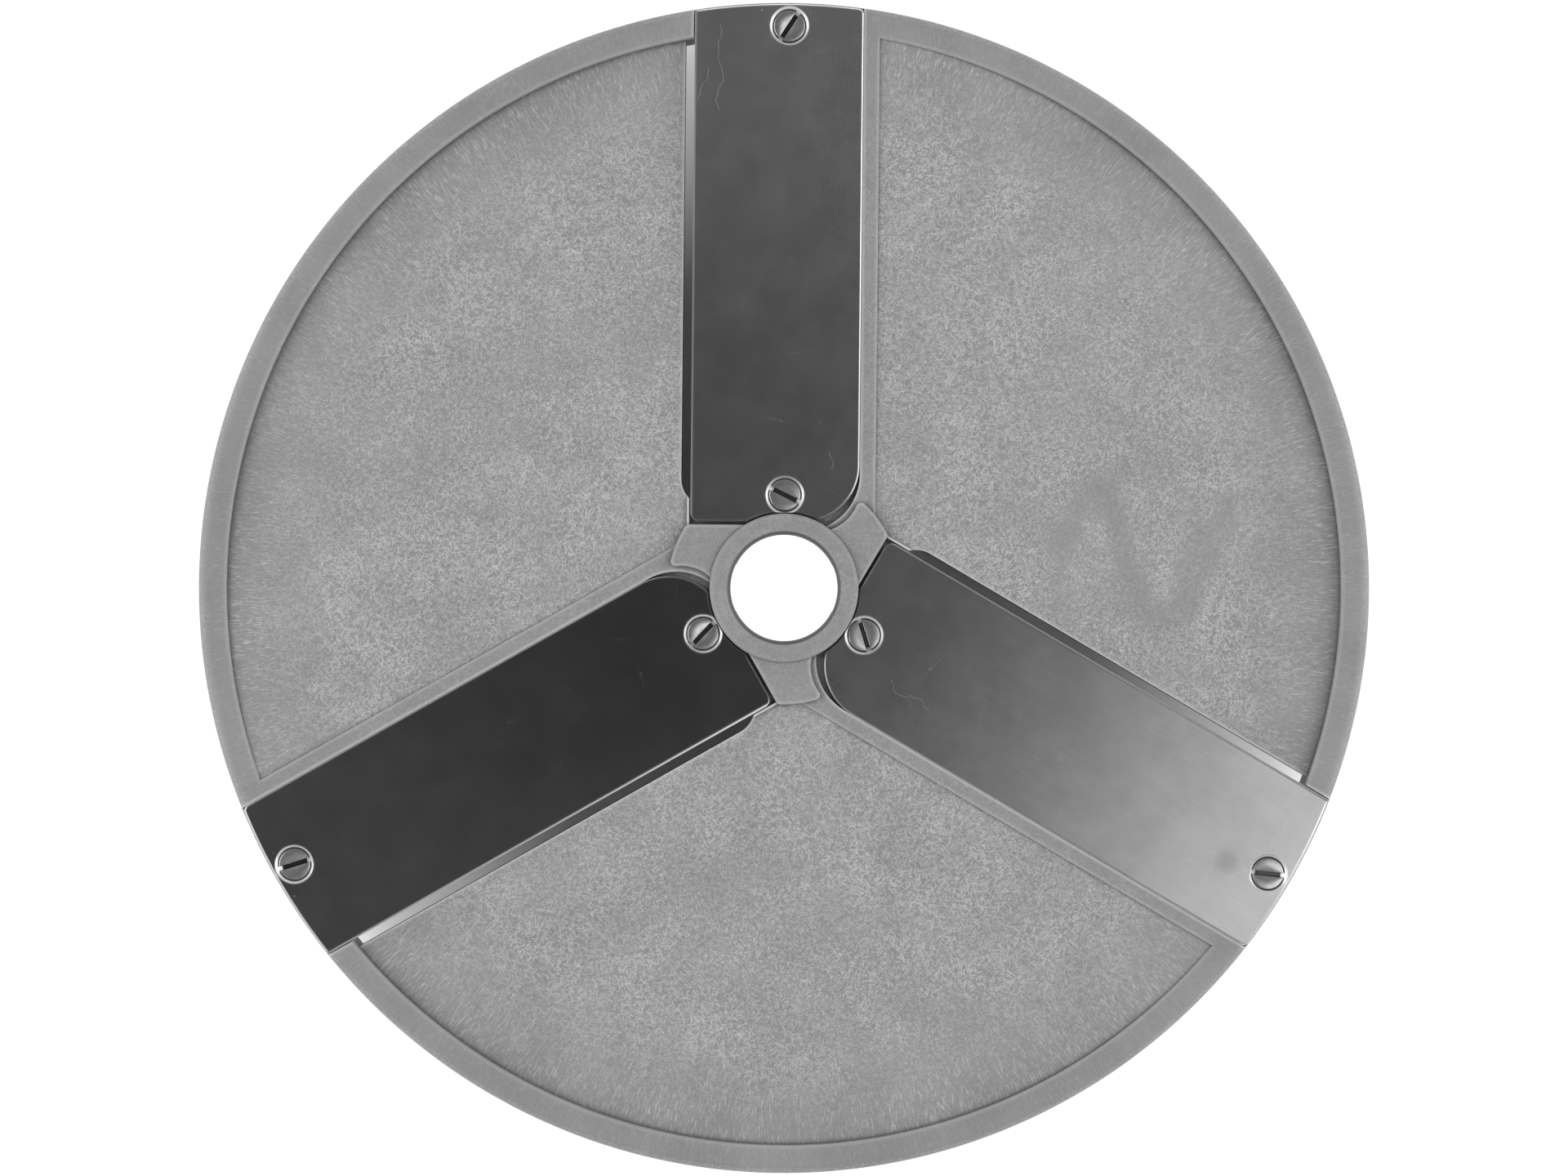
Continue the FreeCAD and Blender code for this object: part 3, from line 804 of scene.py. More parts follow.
@dataclass(frozen=True)
class GroundSteel:
    """Stainless blade steel, ground flat and left satin.

    Fine grinding lines run along the blade and spread its shine, so it gives the
    eye a dark, soft mirror that brightens towards the lamps. A thin cloudy haze, a
    few hair scratches and specks break it up. Each blade is painted its own shade,
    darker towards the hub, and one blade is painted much darker; edges, sides and
    countersinks are painted lighter as a highlight, and the gaps round each blade
    are painted darker as shade. Real lines are too fine to show, so they are drawn
    wider, as faint streaks.
    """

    colour: str = "#B4B4B4"
    mark_colour: str = "#E0E0E0"
    # Painted highlight on the edges, sides and countersinks.
    edge_wear_and_highlight_colour: str = "#F0F0F0"
    roughness: float = 0.20
    # Painted shade: each blade is darkened by its own share, and more towards the hub between these places.
    painted_blade_shades: tuple[float, ...] = (0.97, 0.84, 0.42)
    haze_size: float = 9.090909 * MM
    haze_shades: tuple[float, float] = (0.93, 1.07)
    haze_roughness: tuple[float, float] = (0.98, 1.03)
    painted_shade_span: tuple[float, float] = (18.0 * MM, 98.0 * MM)
    painted_shade_ends: tuple[float, float] = (0.62, 1.12)
    line_width: float = 0.22 * MM
    line_length: float = 9.0 * MM
    line_shades: tuple[float, float] = (0.98, 1.02)
    # The gaps round each blade are painted darker, as shade, over this distance.
    gap: float = 0.32 * MM
    darkest_painted_shade: float = 0.06
    edge_width: float = 0.30 * MM
    edge_reach: tuple[float, float] = (0.06, 0.5)
    edge_share: float = 0.8
    # Below the top, between these depths, the steel is painted lighter as a highlight.
    painted_highlight_depth: tuple[float, float] = (0.16 * MM, 0.04 * MM)
    cut_roughness: float = 0.2
    mark_share: float = 0.5
    mark_roughness: float = 1.6
    scratch_cell: float = 11.0 * MM
    scratch_width: float = 0.05 * MM
    scratch_share: float = 0.22
    scratch_patch: float = 13.333333 * MM
    scratch_range: tuple[float, float] = (0.55, 0.66)
    bend_size: float = 3.846154 * MM
    bend_reach: float = 4.0 * MM
    speck_cell: float = 4.5 * MM
    speck_radius: float = 0.16 * MM
    speck_range: tuple[float, float] = (0.72, 0.95)
    stain_blade: int = 2
    stain_centre: tuple[float, float] = (1.9 * MM, 90.8 * MM)
    stain_radius: float = 3.0 * MM
    stain_shade: float = 0.80
    hairs: tuple[Hair, ...] = (Hair(1, -12.06 * MM, 83.0 * MM, 98.5 * MM, 4.4 * MM),
                               Hair(1, -15.0 * MM, 85.0 * MM, 91.0 * MM, 5.2 * MM),
                               Hair(1, 8.0 * MM, 20.5 * MM, 24.0 * MM, 3.6 * MM),
                               Hair(2, 5.0 * MM, 24.0 * MM, 33.0 * MM, 6.4 * MM))
    hair_width: float = 0.07 * MM
    hair_fade: float = 0.5 * MM
    hair_share: float = 0.55
    hair_bend: float = 4.166667 * MM

    def marks(self, shades: Shades, blade: Node) -> Node:
        """Hair scratches and specks, as a share of lighter steel.

        Args:
            shades: the material's nodes.
            blade: the blade's own coordinates.

        Returns:
            0 for unmarked steel to 1.
        """
        cells = {"Vector": shades.sway(blade, self.bend_size, 3.0, self.bend_reach),
                 "Scale": 1 / self.scratch_cell}
        border = shades.add("TexVoronoi", cells, feature="DISTANCE_TO_EDGE")
        width = self.scratch_width / self.scratch_cell
        line = shades.add("MapRange", (border, 0.0, width, 1.0, 0.0), **SOFT)
        patch = shades.add("TexNoise", {"Vector": blade, "Scale": 1 / self.scratch_patch})
        line = shades.chain("MULTIPLY", line, shades.add("MapRange", (patch, *self.scratch_range), **SOFT))
        speck = shades.add("TexVoronoi", {"Vector": blade, "Scale": 1 / self.speck_cell})
        reach = self.speck_radius / self.speck_cell
        dot = shades.add("MapRange", (speck, reach * 0.4, reach, 1.0, 0.0), **SOFT)
        chance = shades.add("SeparateXYZ", (speck.outputs["Color"],))
        dot = shades.chain("MULTIPLY", dot, shades.add("MapRange", (chance, *self.speck_range), **SOFT))
        return shades.chain("MAXIMUM", shades.chain("MULTIPLY", line, self.scratch_share), dot)

    def hair_marks(self, shades: Shades, blade: Node, number: int) -> Value:
        """Long wandering scratches, as a share of lighter steel.

        Args:
            shades: the material's nodes.
            blade: the blade's own coordinates.
            number: which blade.

        Returns:
            0 for unmarked steel to 1.
        """
        across, along = shades.add("SeparateXYZ", (blade,)).outputs[:2]
        total = 0.0
        for hair in self.hairs:
            if hair.blade != number:
                continue
            path = shades.add("CombineXYZ", {"X": hair.across + hair.near, "Y": along})
            wander = shades.add("TexNoise", {"Vector": path, "Scale": 1 / self.hair_bend, "Detail": 2.5})
            wander = shades.chain("MULTIPLY", shades.chain("SUBTRACT", wander, 0.5), hair.sway)
            off = shades.chain("SUBTRACT", across, hair.across, wander)
            off = shades.add("Math", (off,), operation="ABSOLUTE")
            line = shades.add("MapRange", (off, 0.0, self.hair_width, self.hair_share, 0.0), **SOFT)
            start = shades.add("MapRange", (along, hair.near, hair.near + self.hair_fade), **SOFT)
            stop = shades.add("MapRange", (along, hair.far - self.hair_fade, hair.far, 1.0, 0.0), **SOFT)
            line = shades.chain("MULTIPLY", line, shades.chain("MULTIPLY", start, stop))
            total = shades.chain("MAXIMUM", total, line)
        return total

    def tone_and_painted_shade(self, shades: Shades, blade: Node, haze: Node, number: int) -> Node:
        """How the haze, the grinding lines, a stain and a painted shade darken one blade.

        Args:
            shades: the material's nodes.
            blade: the blade's own coordinates.
            haze: the cloudy noise that tints the steel.
            number: which blade.

        Returns:
            The share of light that is left.
        """
        stretch = {"Vector": blade, "Scale": (self.line_width, self.line_length, MM)}
        lines = shades.add("Mapping", stretch, vector_type="TEXTURE")
        lines = shades.add("TexNoise", {"Vector": lines, "Scale": 1.0, "Detail": 3.0})
        lines = shades.add("MapRange", (lines, *shades.noise_range, *self.line_shades), **SOFT)
        haze = shades.add("MapRange", (haze, *shades.noise_range, *self.haze_shades), **SOFT)
        # Painted shade: each blade is darkened by its own share.
        shade = shades.chain("MULTIPLY", haze, self.painted_blade_shades[number - 1], lines)
        if number == self.stain_blade:
            middle = {"Vector": blade, "Location": (*self.stain_centre, 0)}
            away = shades.from_axis(shades.add("Mapping", middle, vector_type="TEXTURE"))[1]
            spread = (away, self.stain_radius * 0.2, self.stain_radius, self.stain_shade, 1.0)
            shade = shades.chain("MULTIPLY", shade, shades.add("MapRange", spread, **SOFT))
        # Painted shade: darker towards the hub, lighter towards the rim.
        along = shades.add("SeparateXYZ", (blade,)).outputs["Y"]
        along = shades.add("MapRange", (along, *self.painted_shade_span, *self.painted_shade_ends), **SOFT)
        return shades.chain("MULTIPLY", shade, along)

    def material(self, number: int, degrees: float, top: float) -> bpy.types.Material:
        """The material for one blade.

        Args:
            number: which blade.
            degrees: the blade's turn, which its grinding lines follow.
            top: level of the blade's top, below which the steel is painted lighter, as a highlight.

        Returns:
            The material.
        """
        shades = Shades(bpy.data.materials.new(f"ground_stainless_steel_{number}"))
        turn = {"Vector": shades.place, "Rotation": (0, 0, math.radians(degrees))}
        blade = shades.add("Mapping", turn, vector_type="TEXTURE")
        wanted = {"Vector": shades.place, "Scale": 1 / self.haze_size, "Detail": 6.0, "Roughness": 0.7}
        haze = shades.add("TexNoise", wanted)
        shade = self.tone_and_painted_shade(shades, blade, haze, number)
        colour = shades.add("VectorMath", {0: linear(self.colour)[:3], "Scale": shade}, operation="SCALE")
        marks = shades.chain("MAXIMUM", self.marks(shades, blade), self.hair_marks(shades, blade, number))
        share = shades.chain("MULTIPLY", marks, self.mark_share)
        marked = {0: share, 6: colour, 7: linear(self.mark_colour)}
        colour = shades.add("Mix", marked, data_type="RGBA")
        # Painted highlight: edges, sides and countersinks are lightened.
        edge = shades.nearness(self.edge_width, inside=True)
        edge = shades.add("MapRange", (edge, *self.edge_reach, 0.0, self.edge_share), **SOFT)
        height = shades.add("SeparateXYZ", (shades.place,)).outputs["Z"]
        levels = [top - depth for depth in self.painted_highlight_depth]
        cut = shades.add("MapRange", (height, *levels, 1.0, 0.0), **SOFT)
        highlighted = {0: shades.chain("MAXIMUM", edge, cut), 6: colour, 7: linear(self.edge_wear_and_highlight_colour)}
        colour = shades.add("Mix", highlighted, data_type="RGBA")
        # Painted shade: the gaps round each blade darken where shade falls.
        painted_shade = {0: colour, "Scale": shades.clean(self.gap, self.darkest_painted_shade)}
        colour = shades.add("VectorMath", painted_shade, operation="SCALE")
        rough = shades.add("MapRange", (haze, *shades.noise_range, *self.haze_roughness), **SOFT)
        rough = shades.chain("ADD", rough, shades.chain("MULTIPLY", marks, self.mark_roughness))
        rough = shades.chain("MULTIPLY", rough, self.roughness)
        rough = shades.add("Math", (cut, self.cut_roughness, rough), operation="MULTIPLY_ADD")
        surface = {"Base Color": colour, "Metallic": 1.0, "Roughness": rough}
        return shades.finish(shades.add("BsdfPrincipled", surface))


@dataclass(frozen=True)
class TurnedSteel:
    """Stainless screw steel, faced on a lathe.

    The tool leaves fine rings about the screw's own axis, which catch the light
    in a soft cross over a bright grey. The slot and the gap round the head are
    painted darker, as shade. The rings are drawn coarser than real ones, which
    are too fine to show.
    """

    colour: str = "#BEBEBE"
    roughness: float = 0.24
    ring_pitch: float = 0.26 * MM
    ring_shades: tuple[float, float] = (0.88, 1.05)
    mark_size: float = 1.111111 * MM
    mark_shades: tuple[float, float] = (0.86, 1.05)
    relief_height: float = 0.004 * MM
    # The gap round the head is painted darker, as shade, over this distance.
    gap: float = 0.6 * MM
    darkest_painted_shade: float = 0.04
    # Below the top, between these depths, the slot is painted darker, as shade.
    painted_shade: tuple[float, float] = (-0.55 * MM, -0.12 * MM)
    deepest_painted_slot_shade: float = 0.18

    def material(self, name: str, centre: Vector) -> bpy.types.Material:
        """The material for one screw, with its rings about that screw.

        Args:
            name: the material's name.
            centre: middle of the screw's top.

        Returns:
            The material.
        """
        shades = Shades(bpy.data.materials.new(name))
        middle = {"Vector": shades.place, "Location": tuple(centre)}
        screw = shades.add("Mapping", middle, vector_type="TEXTURE")
        radius = shades.from_axis(screw)[1]
        turns = shades.chain("MULTIPLY", radius, math.tau / self.ring_pitch)
        rings = shades.add("Math", (turns,), operation="SINE")
        wanted = {"Vector": screw, "Scale": 1 / self.mark_size, "Detail": 5.0, "Roughness": 0.65}
        marks = shades.add("TexNoise", wanted)
        marked = shades.add("MapRange", (marks, *shades.noise_range, *self.mark_shades), **SOFT)
        ringed = shades.add("MapRange", (rings, -1.0, 1.0, *self.ring_shades), **SOFT)
        # Painted shade: darker down in the slot and in the gap round the head.
        depth = shades.add("SeparateXYZ", (screw,)).outputs["Z"]
        depth = shades.add("MapRange", (depth, *self.painted_shade, self.deepest_painted_slot_shade, 1.0), **SOFT)
        clean = shades.clean(self.gap, self.darkest_painted_shade)
        shade = shades.chain("MULTIPLY", marked, ringed, depth, clean)
        colour = shades.add("VectorMath", {0: linear(self.colour)[:3], "Scale": shade}, operation="SCALE")
        rings, marks = shades.chain("MULTIPLY", rings, 0.5), shades.chain("MULTIPLY", marks, 0.8)
        relief = shades.chain("ADD", rings, marks)
        bump = shades.add("Bump", {"Height": relief, "Distance": self.relief_height, "Strength": 0.55})
        surface = {"Base Color": colour, "Metallic": 1.0, "Roughness": self.roughness, "Normal": bump}
        return shades.finish(shades.add("BsdfPrincipled", surface))


@dataclass(frozen=True)
class TurnedBrass:
    """Free-cutting brass, turned: a yellow metal with fine tool lines."""

    colour: str = "#C9A86A"
    roughness: float = 0.32
    line_pitch: float = 0.15 * MM
    line_height: float = 0.003 * MM

    def material(self) -> bpy.types.Material:
        """The material, with tool lines one above the other.

        Returns:
            The material.
        """
        shades = Shades(bpy.data.materials.new("turned_brass"))
        stretch = {"Vector": shades.place, "Scale": (MM, MM, self.line_pitch)}
        lines = shades.add("Mapping", stretch, vector_type="TEXTURE")
        lines = shades.add("TexNoise", {"Vector": lines, "Scale": 1.0})
        bump = shades.add("Bump", {"Height": lines, "Distance": self.line_height})
        spread = (lines, *shades.noise_range, self.roughness, self.roughness + 0.1)
        surface = {"Base Color": linear(self.colour), "Metallic": 1.0,
                   "Roughness": shades.add("MapRange", spread, **SOFT), "Normal": bump}
        return shades.finish(shades.add("BsdfPrincipled", surface))


# The object


def dress(piece: Piece, material: bpy.types.Material) -> None:
    """Give a piece one material all over."""
    piece.data.materials.clear()
    piece.data.materials.append(material)


def stand_for(piece: Piece, node: str) -> None:
    """Let a piece show in place of a node of the frame and ride with it.

    Args:
        piece: the finished piece.
        node: the node that it stands for.
    """
    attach(piece, "root")
    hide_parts(node)


@dataclass
class Moulding:
    """The moulded disc: hub, panels, ribs, beams, rim, seats, lugs and collar in one."""

    finish: FibreFilledNylon = field(default_factory=FibreFilledNylon)
    crease: float = 32.0
    steps: int = 360
    seat_top: float = 19.3 * MM
    land_top: float = 21.0 * MM
    lug_top: float = 22.2 * MM
    rim_inside: float = 97.4 * MM
    rim_middle: float = 99.95 * MM
    rim_bottom: float = 8.0 * MM
    rim_lean: float = 0.3 * MM
    rim_inner_round: float = 0.5 * MM
    crown_drop: float = 2.6 * MM
    crown_radius: float = 4.0 * MM
    crown_end: tuple[float, float] = (0.308 * MM, 1.062 * MM)
    shoulder_inset: float = 1.9 * MM
    shoulder_round: float = 1.725 * MM
    foot_round: float = 0.9 * MM
    bore_radius: float = 9.5 * MM
    bore_flare: float = 0.5 * MM
    collar_radius: float = 13.0 * MM
    collar_round: float = 0.7 * MM
    hub_radius: float = 16.0 * MM
    hub_round: float = 0.6 * MM
    plate_radius: float = 22.0 * MM
    plate_bottom: float = 10.0 * MM
    heel_wall: float = 13.05 * MM
    land_edge: float = 15.85 * MM
    land_round: float = 0.35 * MM
    edge_wall: float = -16.7 * MM
    lip_half: float = 0.4 * MM
    slot_wall: float = -18.15 * MM
    slot_end: float = 14.0 * MM
    slot_round: float = 5.0 * MM
    throat_top: float = -9.5 * MM
    throat_bottom: float = -5.0 * MM
    end_wall: float = 10.96 * MM
    foot_line: float = 9.96 * MM
    seat_round: float = 9.9 * MM
    panel_step: float = 0.5 * MM
    panel_drop: float = 1.8 * MM
    web: float = 3.0 * MM
    rib_bottom: float = 11.5 * MM
    rib_width: float = 2.4 * MM
    hoop_radius: float = 59.0 * MM
    core_wall: float = 3.0 * MM
    core_top: float = 15.8 * MM
    core_round: float = 2.0 * MM
    core_reaches: tuple = ((25.0 * MM, 57.8 * MM), (60.2 * MM, 92.71 * MM))
    lug_radius: float = 20.35 * MM
    lug_flank: float = 7.35 * MM
    lug_corner: float = 0.9 * MM
    lug_round: float = 0.35 * MM
    witness: float = 0.02 * MM
    notch_half: float = 4.1 * MM
    notch_top: float = 7.0 * MM

    def rim(self) -> Piece:
        """Spin the rim, with its crowned outer shoulder and its rounded foot.

        Returns:
            The solid.
        """
        reach, top, bottom = CAD_BOX[1].x, self.land_top, self.rim_bottom
        inner, foot, small = self.rim_inside, self.foot_round, self.rim_inner_round
        crown, (across, down) = top - self.crown_drop, self.crown_end
        shoulder = reach - self.shoulder_inset
        pen = Pen("rim", inner + self.rim_lean, bottom, upright=True)
        pen.line(reach - foot, bottom)
        pen.arc(reach, bottom + foot, (reach - foot, bottom + foot), Way.ANTICLOCKWISE)
        pen.line(reach, crown)
        pen.arc(reach - across, top - down, (reach - self.crown_radius, crown), Way.ANTICLOCKWISE)
        pen.arc(shoulder, top, (shoulder, top - self.shoulder_round), Way.ANTICLOCKWISE)
        pen.line(inner + small, top)
        pen.arc(inner, top - small, (inner + small, top - small), Way.ANTICLOCKWISE)
        return pen.turn(self.steps)

    def hub(self) -> Piece:
        """Spin the hub, from its foot up to the land.

        Returns:
            The solid.
        """
        foot, shelf = self.hub_round, self.seat_top - self.panel_step
        pen = Pen("moulding", 0, 0, upright=True)
        pen.line(self.hub_radius - foot, 0)
        pen.arc(self.hub_radius, foot, (self.hub_radius - foot, foot), Way.ANTICLOCKWISE)
        pen.line(self.hub_radius, self.plate_bottom).line(self.plate_radius, self.plate_bottom)
        pen.line(self.plate_radius, shelf).line(self.lug_radius - self.lug_corner, shelf)
        pen.line(self.lug_radius - self.lug_corner, self.land_top).line(0, self.land_top)
        return pen.turn(self.steps // 2)

    def collar(self) -> Piece:
        """Spin the collar, which stands highest.

        Returns:
            The solid.
        """
        top, edge = CAD_BOX[1].z, self.collar_round
        pen = outline("collar", [(0, self.seat_top - self.panel_step),
                                 (self.collar_radius, self.seat_top - self.panel_step),
                                 (self.collar_radius, top - edge)], upright=True)
        pen.arc(self.collar_radius - edge, top, (self.collar_radius - edge, top - edge), Way.ANTICLOCKWISE)
        return pen.line(0, top).turn(self.steps // 2)

    def bore(self) -> Piece:
        """Spin the shape of the bore, flared round at both ends.

        Returns:
            The solid.
        """
        top, edge, wall = CAD_BOX[1].z, self.bore_flare, self.bore_radius
        pen = Pen("bore", 0, -MM, upright=True)
        pen.line(wall + edge, -MM).line(wall + edge, 0)
        pen.arc(wall, edge, (wall + edge, edge), Way.CLOCKWISE).line(wall, top - edge)
        pen.arc(wall + edge, top, (wall + edge, top - edge), Way.CLOCKWISE)
        return pen.line(wall + edge, top + MM).line(0, top + MM).turn(self.steps // 2)

    def panel_level(self, x: float) -> float:
        """Top of the panel, which falls away from the land behind the blade."""
        slope = self.panel_drop / (self.rim_inside - self.land_edge)
        return self.land_top - self.panel_step - slope * (x - self.land_edge)

    def slab(self, name: str, sink: float, bottom: float | None = None) -> Piece:
        """Make a slab that slopes with the panel.

        Args:
            name: the slab's name.
            sink: how far its top lies under the panel's top.
            bottom: level of its flat underside, or None for one a web below the panel.

        Returns:
            The slab.
        """
        start, stop = self.heel_wall, self.rim_middle + MM
        high, low = self.panel_level(start), self.panel_level(stop)
        under = [(start, bottom or high - self.web), (stop, bottom or low - self.web)]
        section = outline(name, under + [(stop, low - sink), (start, high - sink)], upright=True)
        return section.pull(-self.rim_middle - MM, self.rim_middle + MM)

    def panel(self) -> Piece:
        """Make the sloping panel from one blade's land to the next blade's throat.

        Returns:
            The solid.
        """
        inner, outer = self.lug_radius - self.rib_width, self.rim_middle
        near_land, near_throat = self.land_edge - MM, self.throat_top + self.core_wall / 2
        start = Vector((near_land, on_circle(inner, near_land)))
        pen = Pen("panel_field", *start)
        pen.line(near_land, on_circle(outer, near_land))
        pen.arc(*turned(near_throat, on_circle(outer, near_throat)), (0, 0), Way.CLOCKWISE)
        pen.line(*turned(near_throat, on_circle(inner, near_throat)))
        pen.arc(*start, (0, 0), Way.ANTICLOCKWISE)
        return combine(pen.pull(0, CAD_BOX[1].z), [self.slab("panel_slab", 0)], Mix.KEEP)

    def ribs(self) -> Piece:
        """Make the spoke, the hoop and the slot's rib under one panel.

        Returns:
            The solid.
        """
        half, top = self.rib_width / 2, CAD_BOX[1].z
        spoke = rectangle("ribs", -half, half, self.hub_radius, self.rim_middle - MM, NEXT / 2).pull(0, top)
        inner, outer = self.hoop_radius - half, self.hoop_radius + half
        left, right = self.land_edge - MM, self.throat_top + self.core_wall / 2
        pen = Pen("hoop", left, on_circle(inner, left)).line(left, on_circle(outer, left))
        pen.arc(*turned(right, on_circle(outer, right)), (0, 0), Way.CLOCKWISE)
        pen.line(*turned(right, on_circle(inner, right)))
        hoop = pen.arc(left, on_circle(inner, left), (0, 0), Way.ANTICLOCKWISE).pull(0, top)
        wall = self.slot_wall - self.rib_width
        beside = rectangle("slot_rib", wall, self.throat_top + half, self.core_wall + 2 * MM,
                           on_circle(self.rim_middle, wall), NEXT).pull(0, top)
        combine(spoke, [hoop, beside], Mix.JOIN)
        return combine(spoke, [self.slab("rib_slab", self.web / 2, self.rib_bottom)], Mix.KEEP)

    def beam(self) -> Piece:
        """Make the beam under one blade, with the rounded land along its heel.

        Returns:
            The solid.
        """
        left, reach = self.throat_top - MM, self.rim_middle
        pen = outline("beam", [(left, self.foot_line), (self.land_edge, self.foot_line),
                               (self.land_edge, on_circle(reach, self.land_edge))])
        pen.arc(left, on_circle(reach, left), (0, 0), Way.ANTICLOCKWISE)
        beam = pen.pull(self.rim_bottom, self.land_top)
        limit = (self.land_edge - NEAR, self.land_top - NEAR)
        round_edges(beam, self.land_round, 4,
                    lambda a, b: min(a.x, b.x) > limit[0] and min(a.z, b.z) > limit[1])
        return beam

    def lip(self) -> Piece:
        """Make the thin lip beside the inner end of the cutting edge.

        Returns:
            The solid.
        """
        thin = self.lip_half
        plan = rectangle("lip", self.edge_wall - thin, self.edge_wall + thin, self.end_wall - thin,
                         self.slot_end + self.slot_round)
        return plan.pull(self.seat_top - self.panel_step, self.land_top)

    def throat(self) -> Piece:
        """Make the shape of one throat, whose wall leans under the blade.

        Returns:
            The solid.
        """
        past, low, high, left = self.rim_middle + MM, -MM, CAD_BOX[1].z, self.slot_wall
        section = outline("throat", [(left - MM, low), (self.throat_bottom, low),
                                     (self.throat_bottom, self.rim_bottom), (self.throat_top, self.seat_top),
                                     (self.throat_top, high), (left - MM, high)], upright=True)
        throat = section.pull(0, past + MM)
        centre = (left + self.slot_round, self.slot_end + self.slot_round)
        pen = Pen("throat_plan", left, centre[1]).arc(centre[0], self.slot_end, centre, Way.ANTICLOCKWISE)
        pen.line(MM, self.slot_end).line(MM, past).line(left, past)
        return combine(throat, [pen.pull(low * 2, high * 2)], Mix.KEEP)

    def core(self, name: str, near: float, far: float) -> Piece:
        """Make the shape of one hollow under a beam, round at its corners.

        Args:
            name: name of the solid.
            near: where it starts along the beam.
            far: where it ends.

        Returns:
            The solid.
        """
        left, right = self.throat_bottom + self.core_wall, self.land_edge - self.core_wall
        edge = self.core_round
        pen = Pen(name, left + edge, near).line(right - edge, near)
        pen.arc(right, near + edge, (right - edge, near + edge), Way.ANTICLOCKWISE).line(right, far - edge)
        pen.arc(right - edge, far, (right - edge, far - edge), Way.ANTICLOCKWISE).line(left + edge, far)
        pen.arc(left, far - edge, (left + edge, far - edge), Way.ANTICLOCKWISE).line(left, near + edge)
        pen.arc(left + edge, near, (left + edge, near + edge), Way.ANTICLOCKWISE)
        return pen.pull(-MM, self.core_top)

    def seat(self) -> Piece:
        """Make the shape of one blade's seat.

        Returns:
            The solid.
        """
        past, corner = self.rim_middle * 1.2, self.heel_wall - self.seat_round
        pen = outline("seat", [(self.edge_wall, self.end_wall), (0, self.end_wall), (corner, self.foot_line)])
        pen.arc(self.heel_wall, self.foot_line + self.seat_round, (corner, self.foot_line + self.seat_round),
                Way.ANTICLOCKWISE)
        pen.line(self.heel_wall, past).line(self.edge_wall, past)
        return pen.pull(self.seat_top, CAD_BOX[1].z + MM)

    def insert_hole(self, node: str) -> Piece:
        """Make the hexagonal hole that one insert is moulded into.

        Args:
            node: the insert's node.

        Returns:
            The solid.
        """
        low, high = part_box(node)
        middle, reach = (low + high) / 2, (high.x - low.x) / 2
        corners = [turned(reach, 0, 60.0 * step) + middle.xy for step in range(6)]
        return outline(node + "_hole", corners).pull(low.z, self.seat_top + self.panel_step)

    def lug(self) -> Piece:
        """Make one raised lug, whose flanks follow the corners of two blades.

        Returns:
            The solid.
        """
        flank = Vector((self.heel_wall - self.lug_flank, self.foot_line + self.lug_flank))
        wall, small = self.end_wall + self.witness, self.lug_corner
        inner = self.lug_radius - small
        first_y = wall - small
        first = Vector((-on_circle(inner, first_y), first_y))
        second = crossing(inner, flank, self.lug_flank + small)
        out = self.lug_radius / inner
        start, rise = turned(first.x, wall), second * out
        back = flank + (second - flank) * (self.lug_flank / (self.lug_flank + small))
        pen = Pen("lug", *turned(-self.collar_radius / 3, wall)).line(*start)
        pen.arc(*turned(*(first * out)), tuple(turned(*first)), Way.ANTICLOCKWISE)
        pen.arc(*rise, (0, 0), Way.ANTICLOCKWISE)
        pen.arc(*back, tuple(second), Way.ANTICLOCKWISE)
        pen.arc(flank.x, self.foot_line, tuple(flank), Way.CLOCKWISE)
        lug = pen.pull(self.seat_top - self.panel_step, self.lug_top)
        limit = self.lug_top - NEAR
        round_edges(lug, self.lug_round, 4, lambda a, b: min(a.z, b.z) > limit)
        return lug

    def build(self) -> list[Piece]:
        """Put the moulding together in the order in which its parts cut each other.

        Returns:
            The moulding alone.
        """
        sector = combine(self.beam(), [self.panel(), self.ribs(), self.lip()], Mix.JOIN)
        sectors = [duplicate(sector, f"sector_{step}", NEXT * step) for step in range(BLADES)]
        bpy.data.objects.remove(sector)
        moulding = combine(self.hub(), sectors, Mix.JOIN)
        cores = [self.core(f"core_{index}", *reach) for index, reach in enumerate(self.core_reaches)]
        combine(moulding, [ring_of(self.throat())] + [ring_of(core) for core in cores], Mix.CUT)
        combine(moulding, [self.rim()], Mix.JOIN)
        inserts = sorted(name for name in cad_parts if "_insert_" in name)
        holes = gather([self.insert_hole(name) for name in inserts])
        combine(moulding, [ring_of(self.seat()), holes], Mix.CUT)
        combine(moulding, [self.collar(), ring_of(self.lug())], Mix.JOIN)
        reach = self.hub_radius * 2
        notch = rectangle("notch", -reach, reach, -self.notch_half, self.notch_half).pull(-MM, self.notch_top)
        combine(moulding, [self.bore(), notch], Mix.CUT)
        mend(moulding)
        smooth(moulding, self.crease)
        flatten_shading(moulding)
        dress(moulding, self.finish.material())
        stand_for(moulding, "disc_body")
        return [moulding]


